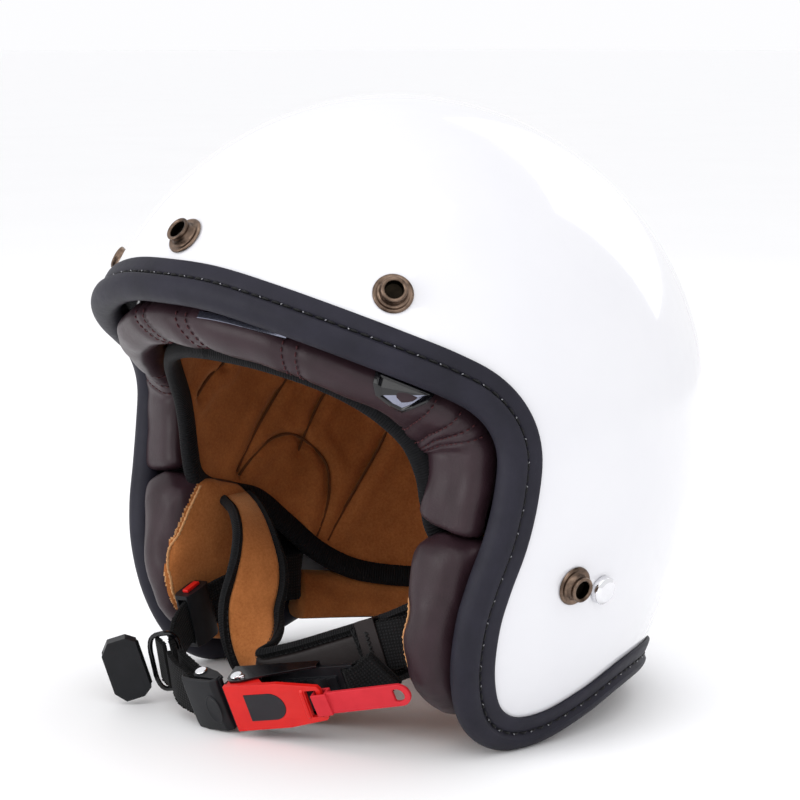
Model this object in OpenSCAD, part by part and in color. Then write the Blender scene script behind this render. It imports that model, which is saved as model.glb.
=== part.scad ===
// Open face motorcycle helmet, standing on its two cheek edges.
// The face looks towards -Y, the wearer's left is +X and +Z is up.
// The shell is a two-part ellipsoid: its own half lengths give every other layer by an inset.

/* [Shell] */
// Half of the outer width of the shell
half_width = 125; // [115:1:130]
// Distance from the widest section to the forehead
front_length = 141; // [135:1:147]
// Distance from the widest section to the back of the head
rear_length = 144; // [138:1:150]
// Height of the crown above the widest section
crown_height = 136; // [130:1:142]
// Half height of the lower ellipsoid that the skirt follows
skirt_height = 193; // [188:1:200]
// Thickness of the fibreglass shell
shell_t = 4; // [3:0.5:5]
// How far the helmet leans back when it stands on a table
tilt = 13.5; // [8:0.5:15]
// Height of the widest section above the table
seat_z = 123.5; // [120:0.5:130]

/* [Edge trim] */
// Width of the sewn flange on the outside of the shell
flange_w = 10.5; // [8:0.5:14]
// Radius of the padded bead that covers the shell's edge
bead_r = 6.7; // [5:0.1:8]

/* [Lining] */
// Thickness of the impact liner
foam_t = 26; // [20:1:30]
// Thickness of the comfort lining
lining_t = 4; // [3:0.5:6]
// Radial depth of the padded roll round the face opening
roll_depth = 18; // [14:1:20]

/* [Snaps and rivets] */
// Radius of the flange of a snap stud
stud_flange_r = 8; // [7:0.5:9]
// Radius of the collar that a peak or shield snaps onto
stud_collar_r = 5.2; // [4.5:0.1:5.6]
// Height of a snap stud above the shell
stud_h = 5.6; // [5:0.2:7]
// Radius of the head of a strap rivet
rivet_head_r = 5.8; // [5:0.2:7]

/* [Chin strap] */
// Width of the webbing
strap_w = 20; // [18:1:21]
// Thickness of the webbing
strap_t = 1.8; // [1.4:0.1:2.2]
// Width of the padded sleeve between its bindings
sleeve_w = 19; // [16:1:22]

/* [Buckle] */
// Turn of the buckle about the vertical as it lies
buckle_yaw = 23.5; // [20:0.5:27]
// Rise of the buckle towards the wearer's left
buckle_rise = 10; // [8:0.5:12]
// Forward lean of the buckle's upper edge
buckle_lean = 20; // [16:1:24]
// Inner half width of the buckle housing
housing_half = 11; // [10.8:0.1:11.4]
// Radius of the lever's pivot pin
pivot_r = 1.5; // [1.3:0.1:1.7]
// Running clearance of pins in their holes
run_gap = 0.06; // [0.03:0.01:0.1]
// Distance between the ratchet teeth
tooth_pitch = 3; // [2:0.5:4]

/* [Hidden] */

seat_y = -7;
table_h = 3 * crown_height;
samples = 2;
gap = 0.3;
layer_gap = 1;

// Azimuth from the forehead and elevation of the shell's lower edge, forehead to nape
EDGE = [[0, 13.7], [11, 13.5], [22, 12.2], [33, 10.5], [44, 8.6], [54, 6.7], [61, 4.6], [66, 1],
    [69, -4], [70, -11], [70, -19], [69, -27], [69, -34], [71.5, -42], [77.5, -48.5], [87, -51.3],
    [98, -50], [109, -45.5], [120, -40],
    [132, -36.8], [146, -35.6], [162, -35.8], [180, -36]];
// The same for the lower edge of the crown lining
LINING_EDGE = [[0, 8.3], [14, 7.9], [28, 6.2], [38, 3.6], [46, 0], [53, -5], [58, -12], [61, -19],
    [64, -24.5],
    [71, -27], [81, -27.5], [92, -28.5], [104, -33.5], [115, -38], [127, -40], [140, -39], [153, -36.5],
    [166, -34.5], [180, -33.5]];
// Azimuth and elevation of the snaps, the centre one and one of each pair
CENTRE_SNAP = [0, 22.5];
SIDE_SNAPS = [[42.5, 19], [89, -25]];
RIVET_AT = [97, -25];
CROWN_POLE = [0, 0.6, 0.8];
BUCKLE_AT = [9, -97.7, 16.5];

// ---------- geometry helpers ----------
function unit(v) = v / norm(v);
function aim(a) = [sin(a[0]) * cos(a[1]), -cos(a[0]) * cos(a[1]), sin(a[1])];
function radii(d, inset) = [half_width - inset, (d.y < 0 ? front_length : rear_length) - inset,
    (d.z > 0 ? crown_height : skirt_height) - inset];
function on_shell(d, inset = 0) =
    let (r = radii(d, inset)) d / norm([d.x / r.x, d.y / r.y, d.z / r.z]);
function normal_at(p) =
    let (r = radii(p, 0)) unit([p.x / pow(r.x, 2), p.y / pow(r.y, 2), p.z / pow(r.z, 2)]);
function slerp(a, b, t) = let (w = acos(a * b)) (sin((1 - t) * w) * a + sin(t * w) * b) / sin(w);
function cubic(a, b, c, d, t) =
    0.5 * (2 * b + (c - a) * t + (2 * a - 5 * b + 4 * c - d) * t * t + (3 * b - a - 3 * c + d) * pow(t, 3));
function wrap(list, i) = list[(i + 2 * len(list)) % len(list)];
function closed_curve(p, k) = [for (i = [0:len(p) - 1], j = [0:k - 1])
    cubic(wrap(p, i - 1), wrap(p, i), wrap(p, i + 1), wrap(p, i + 2), j / k)];
function pick(p, i) = p[max(0, min(len(p) - 1, i))];
function open_curve(p, k) = concat([for (i = [0:len(p) - 2], j = [0:k - 1])
    cubic(pick(p, i - 1), p[i], p[i + 1], pick(p, i + 2), j / k)], [p[len(p) - 1]]);
// Both halves of an edge as directions, from the forehead round the left side and back
function both_sides(half) = concat([for (a = half) aim(a)],
    [for (i = [len(half) - 2:-1:1]) aim([-half[i][0], half[i][1]])]);
function edge_dirs(half) = [for (d = closed_curve(both_sides(half), samples)) unit(d)];
function towards(p, i) =
    let (n = normal_at(p[i]), t = unit(wrap(p, i + 1) - wrap(p, i - 1))) unit(cross(t, n));

SHELL_EDGE = [for (d = edge_dirs(EDGE)) on_shell(d)];
EDGE_OUT = [for (i = [0:len(SHELL_EDGE) - 1]) towards(SHELL_EDGE, i)];
// A point beside the shell's edge: t runs into the opening and n runs out of the shell
function beside(i, t, n) = wrap(SHELL_EDGE, i) + wrap(EDGE_OUT, i) * t + normal_at(wrap(SHELL_EDGE, i)) * n;

// ---------- solid builders ----------
// A curved cap between two insets, from the crown's pole to a closed edge of directions
module cap(edge, outer, inner, rows) {
    n = len(edge);
    pole = unit(CROWN_POLE);
    function layer(inset) = concat([on_shell(pole, inset)],
        [for (r = [1:rows], c = [0:n - 1]) on_shell(slerp(pole, edge[c], r / rows), inset)]);
    base = 1 + rows * n;
    function id(r, c) = r == 0 ? 0 : 1 + (r - 1) * n + c % n;
    polyhedron(points = concat(layer(outer), layer(inner)), faces = concat(
        [for (c = [0:n - 1]) [0, id(1, c + 1), id(1, c)]],
        [for (r = [1:rows - 1], c = [0:n - 1]) each [
            [id(r, c), id(r + 1, c + 1), id(r + 1, c)], [id(r, c), id(r, c + 1), id(r + 1, c + 1)]]],
        [for (c = [0:n - 1]) [base, base + id(1, c), base + id(1, c + 1)]],
        [for (r = [1:rows - 1], c = [0:n - 1]) each [
            [base + id(r, c), base + id(r + 1, c), base + id(r + 1, c + 1)],
            [base + id(r, c), base + id(r + 1, c + 1), base + id(r, c + 1)]]],
        [for (c = [0:n - 1]) each [
            [id(rows, c), base + id(rows, c + 1), base + id(rows, c)],
            [id(rows, c), id(rows, c + 1), base + id(rows, c + 1)]]]));
}

function sum(list) = list * [for (v = list) 1];
// Twice a ring's area, along the normal of its winding
function area_vector(ring) =
    let (parts = [for (j = [1:len(ring) - 2]) cross(ring[j] - ring[0], ring[j + 1] - ring[0])])
    [for (k = [0:2]) sum([for (v = parts) v[k]])];

// Rings of equal length joined into a tube: closed on itself, or with flat ends
module tube(rings, closed) {
    m = len(rings);
    k = len(rings[0]);
    last = closed ? m - 1 : m - 2;
    outward = area_vector(rings[0]) * (rings[1][0] - rings[0][0]) > 0;
    function at(i, j) = (i % m) * k + j % k;
    function facing(face) = outward ? face : [for (j = [len(face) - 1:-1:0]) face[j]];
    polyhedron(points = [for (r = rings) each r], faces = [for (f = concat(
        [for (i = [0:last], j = [0:k - 1]) each [
            [at(i, j), at(i + 1, j + 1), at(i, j + 1)], [at(i, j), at(i + 1, j), at(i + 1, j + 1)]]],
        closed ? [] : [[for (j = [0:k - 1]) at(0, j)], [for (j = [k - 1:-1:0]) at(m - 1, j)]])) facing(f)]);
}

// A flat band along a path: each path entry is [point, direction of the band's width]
module band(path, width, thick, shift = 0) {
    points = open_curve([for (p = path) p[0]], 4);
    sides = open_curve([for (p = path) unit(p[1])], 4);
    tube([for (i = [0:len(points) - 1]) let (
        along = unit(pick(points, i + 1) - pick(points, i - 1)),
        face = unit(cross(sides[i], along)),
        side = unit(cross(along, face)))
        [for (s = [[-1, -1], [1, -1], [1, 1], [-1, 1]])
            points[i] + side * (shift + s[0] * width / 2) + face * s[1] * thick / 2]], false);
}

module seated() {
    translate([0, seat_y, seat_z])
        rotate([-tilt, 0, 0])
            children();
}

// Places a child with its +Z along the shell's outward normal
module stand_on(at, inset = 0) {
    p = on_shell(aim(at));
    n = normal_at(p);
    translate(p - n * inset)
        rotate([0, acos(n.z), atan2(n.y, n.x)])
            children();
}

module at_snaps() {
    stand_on(CENTRE_SNAP)
        children();
    for (s = SIDE_SNAPS, side = [-1, 1])
        stand_on([side * s[0], s[1]])
            children();
}

module at_rivets() {
    for (side = [-1, 1])
        stand_on([side * RIVET_AT[0], RIVET_AT[1]])
            children();
}

module cut_below_table() {
    difference() {
        children();
        translate([0, 0, -table_h / 2])
            cube(table_h, center = true);
    }
}

// ---------- shell and lining ----------
stem_r = 2;
shank_r = 2.4;

module outer_shell() {
    color("white")
        seated()
            difference() {
                cap(edge_dirs(EDGE), 0, shell_t, 11);
                at_snaps()
                    cylinder(h = 4 * shell_t, r = stem_r + 0.2, center = true, $fn = 24);
                at_rivets()
                    cylinder(h = 4 * shell_t, r = shank_r + 0.2, center = true, $fn = 24);
            }
}

module edge_trim() {
    inside = shell_t + 2 * gap;
    bead_n = -2.2;
    // Section of the trim: flange on the shell, round bead, lip inside the shell
    section = concat([[-flange_w, 0.1], [-flange_w, 1.3], [-flange_w + 1, 1.7], [-4.5, 2]],
        [for (a = [108:-29:-95]) [bead_r * cos(a), bead_n + bead_r * sin(a)]],
        [[-3.5, bead_n - bead_r], [-3.5, -inside], [0.1, -inside], [0.1, 0.15], [-flange_w / 2, 0.1]]);
    color([0.16, 0.16, 0.19])
        cut_below_table()
            seated()
                tube([for (i = [0:len(SHELL_EDGE) - 1]) [for (s = section) beside(i, s[0], s[1])]], true);
}

foam_in = shell_t + layer_gap + foam_t;
foam_back = -4.5;

module impact_liner() {
    edge = [for (i = [0:len(SHELL_EDGE) - 1]) unit(beside(i, foam_back, 0))];
    color([0.2, 0.2, 0.22])
        seated()
            difference() {
                cap(edge, shell_t + layer_gap, foam_in, 10);
                at_snaps()
                    translate([0, 0, -shell_t - 3.6])
                        cylinder(h = 6, r = 7, $fn = 24);
                // The neck roll closes the liner's rear edge
                translate([0, 115, -122])
                    cube([300, 170, 98], center = true);
                for (side = [-1, 1]) {
                    // Slot for the webbing and the hollow for its anchor plate
                    translate([side * 95, 22, -95])
                        cube([60, 44, 86], center = true);
                    translate([side * 104, 20, -52])
                        cube([28, 40, 34], center = true);
                    // Pocket for the cheek pad
                    cheek_slant(side)
                        translate([side * -25, -20, 0])
                            cube([50, 72, 100], center = true);
                }
            }
}

first_col = len(SHELL_EDGE) - 20;
roll_cols = 40;

module brow_frame() {
    section = [[-3.9, -14.5], [-2.4, -14.5], [-2.4, -28], [-3.9, -28]];
    color([0.03, 0.03, 0.03])
        seated()
            tube([for (i = [0:roll_cols]) [for (s = section) beside(first_col + i, s[0], s[1])]], false);
}

module face_roll() {
    // Half height of the roll at column i: it narrows to nothing past both temples
    function half_h(i) = 8.5 * pow(sin(180 * (i + 1.5) / (roll_cols + 3)), 0.25);
    function middle(i) = beside(first_col + i, 8, -20);
    color([0.25, 0.19, 0.2])
        seated()
            tube([for (i = [0:roll_cols]) let (
                c = middle(i),
                t = wrap(EDGE_OUT, first_col + i),
                n = normal_at(wrap(SHELL_EDGE, first_col + i)),
                lean = unit(t * 0.45 - n),
                across = unit(t + n * 0.45))
                [for (a = [0:36:324])
                    c + lean * cos(a) * roll_depth / 2 + across * sin(a) * half_h(i)]], false);
}

lining_out = foam_in + layer_gap;

module crown_liner() {
    color([0.55, 0.32, 0.13])
        seated()
            cap(edge_dirs(LINING_EDGE), lining_out, lining_out + lining_t, 8);
}

module crown_binding() {
    edge = [for (d = edge_dirs(LINING_EDGE)) on_shell(d, lining_out)];
    outs = [for (i = [0:len(edge) - 1]) towards(edge, i)];
    section = [[0.2, -0.2], [7, -0.2], [8, -2.5], [7, -lining_t - 1.4], [0.2, -lining_t - 1.4]];
    color([0.05, 0.05, 0.06])
        seated()
            tube([for (i = [0:len(edge) - 1]) [for (s = section)
                edge[i] + outs[i] * s[0] + normal_at(edge[i]) * s[1]]], true);
}

// A point on an inset of the shell at an azimuth and a height
function at_height(az, z, inset) = let (r = radii([0, -cos(az), z], inset))
    let (s = sqrt((1 - pow(z / r.z, 2)) / (pow(sin(az) / r.x, 2) + pow(cos(az) / r.y, 2))))
    [s * sin(az), -s * cos(az), z];

// The roll that pads the nape between the crown lining and the shell's rear edge
module neck_roll() {
    steps = 24;
    start = 112;
    function fall(az) = pow(cos(az), 2);
    function low(az) = -104 + 14 * fall(az);
    function high(az) = -88 + 8 * fall(az);
    color([0.5, 0.28, 0.12])
        seated()
            tube([for (i = [0:steps]) let (
                az = start + i * (360 - 2 * start) / steps,
                lo = low(az),
                hi = high(az))
                [for (s = [[30, hi], [34, (lo + hi) / 2], [33, lo + 2], [28, lo], [16, lo], [12.5, lo + 2.5],
                    [12.5, lo + 5], [19, hi - 1]]) at_height(az, s[1], s[0])]], false);
}

// The cheek pads lean inwards with the shell: their outer face passes through this line
cheek_x = 103;
cheek_top = -47;
cheek_lean = 12;
module cheek_slant(side) {
    translate([side * (cheek_x + 2.4), 0, cheek_top])
        rotate([0, side * cheek_lean, 0])
            translate([0, 0, -47])
                children();
}

// Height, front edge and back edge of each level of a cheek pad
CHEEK_LEVELS = [[-57, -42, 1], [-60, -47, 6], [-66, -50, 12], [-76, -51.5, 13], [-87, -50.5, 13],
    [-97, -46, 12], [-106, -39, 8], [-113, -30, 4], [-116, -24, 2]];
module cheek_pad(side) {
    color([0.25, 0.19, 0.2])
        seated()
            tube([for (level = CHEEK_LEVELS) let (
                z = level[0],
                front = level[1],
                outer = cheek_x + (z - cheek_top) * tan(cheek_lean),
                back = level[2],
                tuck = z > -58 || z < -114 ? 3 : 0)
                [for (p = [[outer - tuck, front + 9], [outer - 7, front + 0.5],
                    [(outer + 76) / 2, front - 1.5],
                    [77.5 + tuck, front + 2], [75 + tuck, front + 12], [74 + tuck, (front + back) / 2],
                    [75.5 + tuck, back - 2], [79 + tuck, back], [outer - 5, back], [outer - tuck, back - 8]])
                    [side * p[0], p[1], z]]], false);
}

module cheek_pad_left() {
    cheek_pad(1);
}

module cheek_pad_right() {
    mirror([1, 0, 0])
        cheek_pad(1);
}

// A thin plate with three poppers that presses into the impact liner behind each cheek pad
module cheek_plate(side) {
    plate_t = 1.2;
    color([0.1, 0.1, 0.1])
        seated()
            cheek_slant(side)
                translate([side * (-0.4 - plate_t / 2), -16, 14])
                    difference() {
                        union() {
                            cube([plate_t, 36, 44], center = true);
                            for (hole = [[-12, 14], [12, 14], [0, -14]])
                                translate([0, hole[0], hole[1]])
                                    rotate([0, 90, 0])
                                        cylinder(h = plate_t + 0.6, r = 5, center = true, $fn = 32);
                        }
                        cube([10, 14, 12], center = true);
                    }
}

module cheek_plate_left() {
    cheek_plate(1);
}

module cheek_plate_right() {
    cheek_plate(-1);
}

// ---------- snaps and rivets ----------
module snap_studs() {
    color([0.35, 0.27, 0.18])
        seated()
            at_snaps()
                rotate_extrude($fn = 48)
                    polygon([[0, -shell_t - 3], [stem_r, -shell_t - 3], [stem_r, 0.15],
                        [stud_flange_r, 0.15], [stud_flange_r, 0.7], [stud_flange_r - 1, 1.3],
                        [stud_collar_r, 1.6], [stud_collar_r, stud_h - 0.5], [stud_collar_r - 0.5, stud_h],
                        [stud_collar_r - 1.4, stud_h], [stud_collar_r - 1.9, stud_h - 0.6],
                        [stud_collar_r - 1.9, 1.6], [0, 1.6]]);
}

module snap_washers() {
    color([0.5, 0.5, 0.5])
        seated()
            at_snaps()
                translate([0, 0, -shell_t - 2.8])
                    difference() {
                        cylinder(h = 1.2, r = 6, $fn = 36);
                        translate([0, 0, -1])
                            cylinder(h = 4, r = stem_r + 0.05, $fn = 24);
                    }
}

module strap_rivets() {
    color([0.8, 0.8, 0.82])
        seated()
            at_rivets()
                rotate_extrude($fn = 48)
                    polygon([[0, -shell_t - 6], [shank_r, -shell_t - 6], [shank_r, 0.15],
                        [rivet_head_r, 0.15], [rivet_head_r, 2.6], [rivet_head_r - 1.2, 3.8], [0, 3.8]]);
}

module anchor_plates() {
    color([0.6, 0.6, 0.62])
        seated()
            at_rivets()
                translate([0, 0, -shell_t - 1.8])
                    difference() {
                        cube([16, 20, 1.6], center = true);
                        cylinder(h = 4, r = shank_r, center = true, $fn = 24);
                    }
}

// ---------- chin strap ----------
UP = [0, -0.2, 1];
BACK_IN = [0, 1, 0.2];
ACROSS = [0.6, 0.8, 0];
ALONG_TOP = [-0.35, -0.1, 0.93];

function turn_x(p, a) = [p.x, p.y * cos(a) - p.z * sin(a), p.y * sin(a) + p.z * cos(a)];
function turn_y(p, a) = [p.x * cos(a) + p.z * sin(a), p.y, p.z * cos(a) - p.x * sin(a)];
function turn_z(p, a) = [p.x * cos(a) - p.y * sin(a), p.x * sin(a) + p.y * cos(a), p.z];
// Turns a direction, or takes a point, from the buckle's frame to where it lies
function turned(p) = turn_z(turn_y(turn_x(p, buckle_lean), -buckle_rise), buckle_yaw);
function lie(x, y, z = 0) = BUCKLE_AT + turned([x, y, z]);

LEFT_ROUTE = [[[104, 6, 77], BACK_IN], [[103, 9, 62], BACK_IN], [[98, 10, 48], [0.3, 1, 0.4]],
    [[86, 4, 38.5], [0, 0.6, 1]], [[71, -4, 38], [0.1, 0.1, 1]], [[69, -18, 41], UP], [[70, -36, 45], UP],
    [[71.5, -51, 47], UP], [[67, -59.5, 44], ALONG_TOP], [[58, -62.5, 41.5], ALONG_TOP],
    [[48.5, -64.5, 38.5], ALONG_TOP], [[42, -66.5, 35.5], ALONG_TOP]];

module left_webbing() {
    color([0.06, 0.06, 0.06])
        band(LEFT_ROUTE, strap_w, strap_t);
}

ACROSS_BUCKLE = turned([0, 0, 1]);
RIGHT_ROUTE = [[[-104, 6, 77], BACK_IN], [[-103, 9, 62], BACK_IN], [[-98, 10, 48], [-0.3, 1, 0.4]],
    [[-86, 4, 38.5], [0, 0.6, 1]], [[-71, -4, 38], [-0.1, 0.1, 1]], [[-69, -20, 39], UP],
    [[-70, -44, 36.5], UP],
    [[-67, -66, 31.5], UP], [[-59, -82, 26], UP], [[-48, -93, 19], UP], [[-42, -96, 18], UP]];
// The doubled webbing round the link's pin
LOOP_ROUTE = [[[-37, -97.3, 17.5], UP], [[-26, -100, 15.8], UP], [lie(-20.4, 4.6), ACROSS_BUCKLE],
    [lie(-16.9, 3.9), ACROSS_BUCKLE], [lie(-15.9, 1.5), ACROSS_BUCKLE], [lie(-16.9, -0.9), ACROSS_BUCKLE],
    [lie(-20.4, -1.6), ACROSS_BUCKLE], [[-26, -107, 15.5], UP], [[-37, -103, 18], UP]];
// The webbing's return through the ring
RETURN_ROUTE = [[[-42, -101, 19], UP], [[-48, -99, 19.5], UP], [[-52.3, -97.6, 20], UP]];

module right_webbing() {
    color([0.06, 0.06, 0.06]) {
        band(RIGHT_ROUTE, strap_w, strap_t);
        band(RETURN_ROUTE, strap_w, strap_t);
    }
}

module link_webbing() {
    color([0.06, 0.06, 0.06])
        band(LOOP_ROUTE, strap_w, strap_t);
}

SLEEVE_ROUTE = [[[65.5, -34, 49], UP], [[66.5, -46, 47.5], UP], [[63, -54.5, 43.5], ALONG_TOP],
    [[50, -58.5, 37], ALONG_TOP], [[30, -65, 28.5], ALONG_TOP], [[9, -74, 20], ALONG_TOP],
    [[-6, -78, 17], [-0.2, -0.2, 1]], [[-17, -73, 24], [0.2, 0.3, 0.6]], [[-30, -62, 40], ACROSS],
    [[-43, -53, 56], ACROSS], [[-56, -45, 72], ACROSS], [[-65, -40, 87], ACROSS]];

sleeve_t = 4;

module chin_sleeve() {
    color([0.3, 0.22, 0.18])
        band(SLEEVE_ROUTE, sleeve_w, sleeve_t);
}

binding_w = 4;
binding_t = 4.8;
binding_gap = 0.7;
module sleeve_binding() {
    color([0.05, 0.05, 0.05])
        for (edge = [-1, 1])
            band(SLEEVE_ROUTE, binding_w, binding_t, edge * ((sleeve_w + binding_w) / 2 + binding_gap));
}

// The leather loop that holds the webbing on the sleeve
module sleeve_keeper() {
    color([0.25, 0.2, 0.18])
        at_route(LEFT_ROUTE, 10)
            difference() {
                cube([10, 4.4, strap_w + 3.4], center = true);
                cube([12, 2.6, strap_w + 0.8], center = true);
            }
}

// ---------- buckle ----------
// Local frame: the lever's pin is at the origin, +X runs along the strap to the wearer's left,
// +Y faces the throat and +Z runs across the strap's width
module lying() {
    translate(BUCKLE_AT)
        rotate([buckle_lean, -buckle_rise, buckle_yaw])
            children();
}

wall_t = 1;
pin_y = -4;
housing_l = 35;
base_y = 2.6;

module pin_hole(r) {
    translate([0, pin_y, 0])
        cylinder(h = 40, r = r, center = true, $fn = 32);
}

module across(half) {
    translate([0, 0, -half])
        linear_extrude(2 * half)
            children();
}

module buckle_housing() {
    color([0.04, 0.04, 0.04])
        lying()
            difference() {
                union() {
                    across(housing_half + wall_t)
                        polygon([[-4, base_y], [housing_l, base_y], [housing_l, base_y + wall_t],
                            [-4, base_y + wall_t]]);
                    for (s = [-1, 1])
                        translate([0, 0, s * (housing_half + wall_t / 2)])
                            linear_extrude(wall_t, center = true)
                                polygon([[-4, base_y + wall_t], [-4, -5], [-2, -7.4], [3, -7.4], [10, -5.4],
                                    [28, -2], [housing_l, -0.5], [housing_l, base_y + wall_t]]);
                }
                pin_hole(pivot_r);
            }
}

module lever_pin() {
    color([0.8, 0.8, 0.82])
        lying()
            translate([0, pin_y, 0])
                union() {
                    cylinder(h = 2 * (housing_half + wall_t), r = pivot_r, center = true, $fn = 32);
                    for (s = [-1, 1])
                        translate([0, 0, s * (housing_half + wall_t + 0.4)])
                            cylinder(h = 0.8, r = 2.6, center = true, $fn = 32);
                }
}

module lever_spring() {
    turns = 4;
    steps = 14;
    color([0.75, 0.75, 0.78])
        lying()
            translate([0, pin_y, -2.6])
                tube([for (i = [0:turns * steps]) let (a = i * 360 / steps)
                    [for (b = [0:60:300]) [(2.3 + 0.4 * cos(b)) * cos(a), (2.3 + 0.4 * cos(b)) * sin(a),
                        i * 5.2 / (turns * steps) + 0.4 * sin(b)]]], false);
}

lever_l = 37.6;
face_y = -10;
lever_t = 2;
slot_x = 34;
inlay_depth = 0.9;
inlay_r = 6.3;
inlay_x = 14.5;
inlay_l = 11;

// The insert's outline: straight towards the pin and round at the other end
module inlay_shape(grow) {
    r = inlay_r + grow;
    translate([inlay_x, 0])
        union() {
            circle(r = r, $fn = 48);
            translate([-inlay_l - grow, -r])
                square([inlay_l + grow, 2 * r]);
        }
}

module lever() {
    color([0.85, 0.06, 0.05])
        lying()
            difference() {
                union() {
                    translate([0, face_y + lever_t, 0])
                        rotate([90, 0, 0])
                            linear_extrude(lever_t)
                                polygon([[-4.5, -11], [20, -10.6], [lever_l, -8], [lever_l + 1, -6.5],
                                    [lever_l + 1, 6.5],
                                    [lever_l, 8], [20, 10.6], [-4.5, 11]]);
                    for (s = [-1, 1])
                        translate([0, 0, s * 9.6])
                            linear_extrude(1.8, center = true)
                                polygon([[-4, face_y + 1], [14, face_y + 1], [8, -2.6], [3, -1.4],
                                    [-3, -1.4], [-4, -3]]);
                }
                pin_hole(pivot_r + run_gap);
                translate([0, face_y + inlay_depth, 0])
                    rotate([90, 0, 0])
                        linear_extrude(4)
                            inlay_shape(0.05);
                translate([slot_x, face_y, 0])
                    cube([5.2, 10, 12.6], center = true);
            }
}

module lever_inlay() {
    color([0.08, 0.08, 0.1])
        lying()
            translate([0, face_y + inlay_depth, 0])
                rotate([90, 0, 0])
                    linear_extrude(inlay_depth + 0.2)
                        inlay_shape(0);
}

module lever_pawl() {
    color([0.6, 0.6, 0.62])
        lying()
            across(5)
                polygon([[17, face_y + lever_t], [23, face_y + lever_t], [22, -4], [20.4, -2.3],
                    [19.6, -2.3], [18, -5]]);
}

tab_x = slot_x + 3.6;
tab_droop = -3;

module pull_tab() {
    color([0.88, 0.16, 0.2])
        lying()
            translate([tab_x, face_y + lever_t / 2, 0])
                rotate([0, tab_droop, 0])
                    union() {
                        // Loop through the lever's slot
                        across(5)
                            difference() {
                                translate([-3, -2.8])
                                    square([7, 5.6]);
                                translate([-1.9, -1.75])
                                    square([4.6, 3.5]);
                            }
                        rotate([90, 0, 0])
                            linear_extrude(1.6)
                                difference() {
                                    union() {
                                        translate([3, -5])
                                            square([32, 10]);
                                        translate([35, 0])
                                            circle(r = 5, $fn = 40);
                                    }
                                    intersection() {
                                        translate([34.5, 0])
                                            circle(r = 2.9, $fn = 32);
                                        translate([32.8, -4])
                                            square([8, 8]);
                                    }
                                }
                    }
}

module ratchet_tongue() {
    first_tooth = 14;
    teeth = 9;
    plate_end = 50;
    crest = -1.8;
    root = -0.4;
    color([0.05, 0.05, 0.05])
        lying()
            difference() {
                union() {
                    across(10.4)
                        polygon([[12, 0.6], [plate_end, 0.6], [plate_end, 2.3], [12, 2.3]]);
                    across(6)
                        polygon(concat([[13, 1], [13, root]], [for (i = [0:teeth - 1]) each [
                            [first_tooth + i * tooth_pitch, root],
                            [first_tooth + i * tooth_pitch + 0.4, crest],
                            [first_tooth + (i + 0.9) * tooth_pitch, root]]], [[42, root], [42, 1]]));
                }
                translate([plate_end - 3.8, 0, 0])
                    cube([2.8, 20, strap_w - 1.6], center = true);
            }
}

// The end of the left webbing: it passes through the tongue's slot and is sewn back on itself
module tongue_webbing() {
    color([0.06, 0.06, 0.06])
        band([for (p = [[62, 6.4, 5], [56, 4.8, 2], [49, 3.7, 0], [46.9, 3.2, 0], [46.1, 1.45, 0],
            [46.9, -0.4, 0], [49, -0.9, 0], [56, 2.3, 2], [62, 4, 5]])
            [lie(p[0], p[1], p[2]), ACROSS_BUCKLE]], strap_w - 2.4, strap_t);
}

link_l = 20;
link_fold = 16;
link_half = 11;
link_flange = 1;
// The link's own frame: +X runs from the lever's pin to the webbing's pin
module along_link() {
    lying()
        translate([0, pin_y, 0])
            rotate([0, 0, 180 - link_fold])
                children();
}

module buckle_link() {
    color([0.05, 0.05, 0.06])
        along_link()
            difference() {
                union() {
                    for (s = [-1, 1]) {
                        // Ears on the lever's pin
                        translate([0, 0, s * 5.8])
                            linear_extrude(3, center = true)
                                union() {
                                    circle(r = 2.8, $fn = 32);
                                    translate([0, -2.2])
                                        square([9, 4.6]);
                                }
                        // Flanges that hold the webbing's pin
                        translate([0, 0, s * (link_half + link_flange / 2)])
                            linear_extrude(link_flange, center = true)
                                union() {
                                    translate([link_l, 0])
                                        circle(r = 3.4, $fn = 32);
                                    polygon([[7, 1], [7, 3.4], [link_l, 3.4], [link_l, -3.4], [12, -1.5]]);
                                }
                    }
                    across(link_half + link_flange)
                        polygon([[7, 1.6], [13, 2.2], [13, 3.6], [7, 3.4]]);
                }
                lever_pin_bore();
                translate([link_l, 0, 0])
                    cylinder(h = 40, r = pivot_r, center = true, $fn = 32);
            }
}

module lever_pin_bore() {
    cylinder(h = 40, r = pivot_r + run_gap, center = true, $fn = 32);
}

module link_pin() {
    color([0.8, 0.8, 0.82])
        along_link()
            translate([link_l, 0, 0])
                union() {
                    cylinder(h = 2 * (link_half + link_flange), r = pivot_r, center = true, $fn = 32);
                    for (s = [-1, 1])
                        translate([0, 0, s * (link_half + link_flange + 0.4)])
                            cylinder(h = 0.8, r = 2.6, center = true, $fn = 32);
                }
}

// ---------- strap fittings ----------
module at_route(route, i, shift = 0) {
    ahead = unit(route[i + 1][0] - route[i - 1][0]);
    face = unit(cross(unit(route[i][1]), ahead));
    side = unit(cross(ahead, face));
    multmatrix([[ahead.x, face.x, side.x, route[i][0].x + ahead.x * shift],
        [ahead.y, face.y, side.y, route[i][0].y + ahead.y * shift],
        [ahead.z, face.z, side.z, route[i][0].z + ahead.z * shift]])
        children();
}

module adjuster() {
    color([0.05, 0.05, 0.06])
        at_route(RIGHT_ROUTE, 7)
            difference() {
                across(12.5)
                    polygon([[-8, -3.5], [-5, -5], [5, -5], [8, -3.5], [8, 3], [5, 4.5], [-5, 4.5], [-8, 3]]);
                cube([40, 4.4, strap_w + 0.8], center = true);
            }
}

module adjuster_lock() {
    color([0.8, 0.05, 0.1])
        at_route(RIGHT_ROUTE, 7)
            translate([0, 0, 13.2])
                cube([9, 3, 1.4], center = true);
}

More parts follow.
